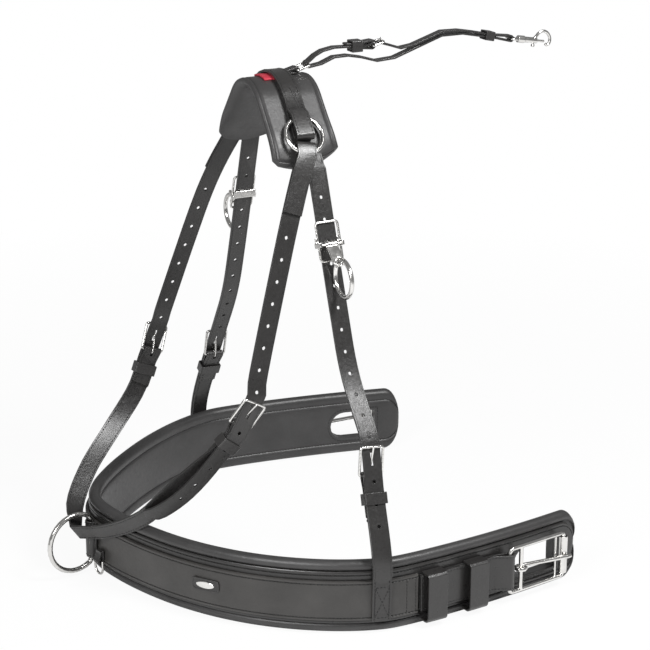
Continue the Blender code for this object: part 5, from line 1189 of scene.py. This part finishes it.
def ring_piece(node):
    """A round wire ring fitted to its node, with its axis found where its points spread least."""
    points = [vert.co.copy() for vert in frame["nodes"][node].data.vertices]
    low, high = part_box(node)
    centre = (low + high) / 2
    spread_of = Matrix.Diagonal((0, 0, 0))
    for point in points:
        offset = point - centre
        for i in range(3):
            for j in range(3):
                spread_of[i][j] += offset[i] * offset[j]
    axis = Vector(AXIS_GUESS)
    inverse = spread_of.inverted()
    for _ in range(AXIS_STEPS):
        axis = (inverse @ axis).normalized()
    reaches = [(point - centre - axis * axis.dot(point - centre)).length for point in points]
    wire = (max(reaches) - min(reaches)) / 2
    radius = (max(reaches) + min(reaches)) / 2
    side = axis.orthogonal().normalized()
    other = axis.cross(side)
    bm = bmesh.new()
    loops = []
    for i in range(RING_SIDES):
        turn = 2 * math.pi * i / RING_SIDES
        out = side * math.cos(turn) + other * math.sin(turn)
        loop = []
        for j in range(WIRE_SIDES):
            roll = 2 * math.pi * j / WIRE_SIDES
            reach = out * (radius + wire * math.cos(roll))
            loop.append(bm.verts.new(centre + reach + axis * wire * math.sin(roll)))
        loops.append(loop)
    join_loops(bm, loops + loops[:1])
    mesh = finished_mesh(bm, node + "_round")
    shade_smooth(mesh)
    return set_piece(node + "_round", mesh, "polished_steel", body_of(node), node)


class HARNESS_OT_metal(bpy.types.Operator):
    """Make the buckles, tongues, rings, terrets and snap hook"""

    bl_idname = "harness.metal"
    bl_label = "Buckles and rings"

    def execute(self, context):
        make_paints(context.scene)
        settings = context.scene.collar_metal
        for node in CAST_METAL:
            cast_piece(node, settings.grain, settings.softening)
        for node in ROUND_RINGS:
            ring_piece(node)
        for node in ROLLERS:
            rounded_piece(node, "polished_steel", ROLLER_ROUNDING)
        return {"FINISHED"}


# Stage


def area_lamp(name, power, place, target, size):
    """A square lamp that is aimed at a place."""
    data = bpy.data.lights.new(name, "AREA")
    data.size = size
    data.energy = power
    lamp = bpy.data.objects.new(name, data)
    lamp.location = place
    lamp.rotation_euler = (Vector(target) - Vector(place)).to_track_quat("-Z", "Y").to_euler()
    bpy.context.scene.collection.objects.link(lamp)


def show_mix(tree, output, share, lit, shown):
    """Puts a mix of two shaders on an output."""
    blend = tree.nodes.new("ShaderNodeMixShader")
    for value, socket in zip((share, lit, shown), blend.inputs):
        tree.links.new(value, socket)
    tree.links.new(blend.outputs[0], output.inputs["Surface"])


def floor_paint(white, reach):
    """A pale floor that keeps a faint shadow by the collar and shows plain white further off."""
    paint, tree, shader = shader_of("pale_floor")
    put(shader, Base_Color=(FLOOR_SHADE, FLOOR_SHADE, FLOOR_SHADE, 1), Roughness=0.9)
    glow = tree.nodes.new("ShaderNodeEmission")
    put(glow, Color=(1, 1, 1, 1), Strength=1.0)
    away = tree.nodes.new("ShaderNodeVectorMath")
    away.operation = "LENGTH"
    tree.links.new(coordinates(tree), away.inputs[0])
    seen = tree.nodes.new("ShaderNodeMath")
    seen.operation = "MULTIPLY"
    tree.links.new(tree.nodes.new("ShaderNodeLightPath").outputs["Is Camera Ray"], seen.inputs[0])
    tree.links.new(spread(tree, away.outputs["Value"], white, 1.0, reach / 2, reach), seen.inputs[1])
    show_mix(tree, tree.nodes["Material Output"], seen.outputs[0], shader.outputs[0], glow.outputs[0])
    return paint


def light_world(strength):
    """An even studio light that the camera sees as white."""
    world = bpy.data.worlds.new("studio")
    bpy.context.scene.world = world
    world.use_nodes = True
    tree = world.node_tree
    even = tree.nodes["Background"]
    white = tree.nodes.new("ShaderNodeBackground")
    for light, level in ((even, strength), (white, 1.0)):
        put(light, Color=(1, 1, 1, 1), Strength=level)
    seen = tree.nodes.new("ShaderNodeLightPath").outputs["Is Camera Ray"]
    show_mix(tree, tree.nodes["World Output"], seen, even.outputs[0], white.outputs[0])


class HARNESS_OT_stage(bpy.types.Operator):
    """Set the camera, the lamps and the pale floor"""

    bl_idname = "harness.stage"
    bl_label = "Stage"

    def execute(self, context):
        scene = context.scene
        settings = scene.collar_stage
        scene.view_settings.view_transform = "Standard"
        data = bpy.data.cameras.new("camera")
        data.lens = settings.lens
        data.sensor_width = SENSOR_WIDTH
        data.sensor_fit = "HORIZONTAL"
        camera = bpy.data.objects.new("camera", data)
        camera.location = settings.place
        camera.rotation_euler = (math.pi / 2 - settings.elevation, 0, settings.azimuth)
        scene.collection.objects.link(camera)
        scene.camera = camera
        light_world(settings.sky)
        area_lamp("key_lamp", settings.key, *KEY_LAMP)
        area_lamp("fill_lamp", settings.fill, *FILL_LAMP)
        half = settings.floor_size / 2
        low = cad_box[0][2] - FLOOR_GAP
        mesh = bpy.data.meshes.new("floor")
        corners = [(-half, -half, low), (half, -half, low), (half, half, low), (-half, half, low)]
        mesh.from_pydata(corners, [], [range(4)])
        mesh.materials.append(floor_paint(settings.floor_white, settings.shadow_reach))
        floor = bpy.data.objects.new("floor", mesh)
        scene.collection.objects.link(floor)
        return {"FINISHED"}


class HARNESS_PT_panel(bpy.types.Panel):
    """The collar's pieces in the sidebar."""

    bl_idname = "HARNESS_PT_panel"
    bl_label = "Breast collar"
    bl_space_type = "VIEW_3D"
    bl_region_type = "UI"
    bl_category = "Harness"

    def draw(self, context):
        scene = context.scene
        for settings in (scene.collar_leather, scene.collar_metal, scene.collar_stage):
            box = self.layout.box()
            for name in settings.__annotations__:
                box.prop(settings, name)
        for operator in OPERATORS:
            self.layout.operator(operator.bl_idname)


OPERATORS = (
    HARNESS_OT_stage,
    HARNESS_OT_padding,
    HARNESS_OT_band_leather,
    HARNESS_OT_neck_pad,
    HARNESS_OT_plaque,
    HARNESS_OT_straps,
    HARNESS_OT_metal,
    HARNESS_OT_band_thread,
    HARNESS_OT_strap_thread,
)
GROUPS = (LeatherSettings, MetalSettings, StageSettings)


def register():
    for item in GROUPS + OPERATORS + (HARNESS_PT_panel,):
        bpy.utils.register_class(item)
    bpy.types.Scene.collar_leather = PointerProperty(type=LeatherSettings)
    bpy.types.Scene.collar_metal = PointerProperty(type=MetalSettings)
    bpy.types.Scene.collar_stage = PointerProperty(type=StageSettings)


def unregister():
    del bpy.types.Scene.collar_stage
    del bpy.types.Scene.collar_metal
    del bpy.types.Scene.collar_leather
    for item in reversed(GROUPS + OPERATORS + (HARNESS_PT_panel,)):
        bpy.utils.unregister_class(item)


def main():
    register()
    bpy.ops.harness.stage()
    bpy.ops.harness.padding()
    bpy.ops.harness.band_leather()
    bpy.ops.harness.neck_pad()
    bpy.ops.harness.plaque()
    bpy.ops.harness.straps()
    bpy.ops.harness.metal()
    bpy.ops.harness.band_thread()
    bpy.ops.harness.strap_thread()


if __name__ == "__main__":
    main()
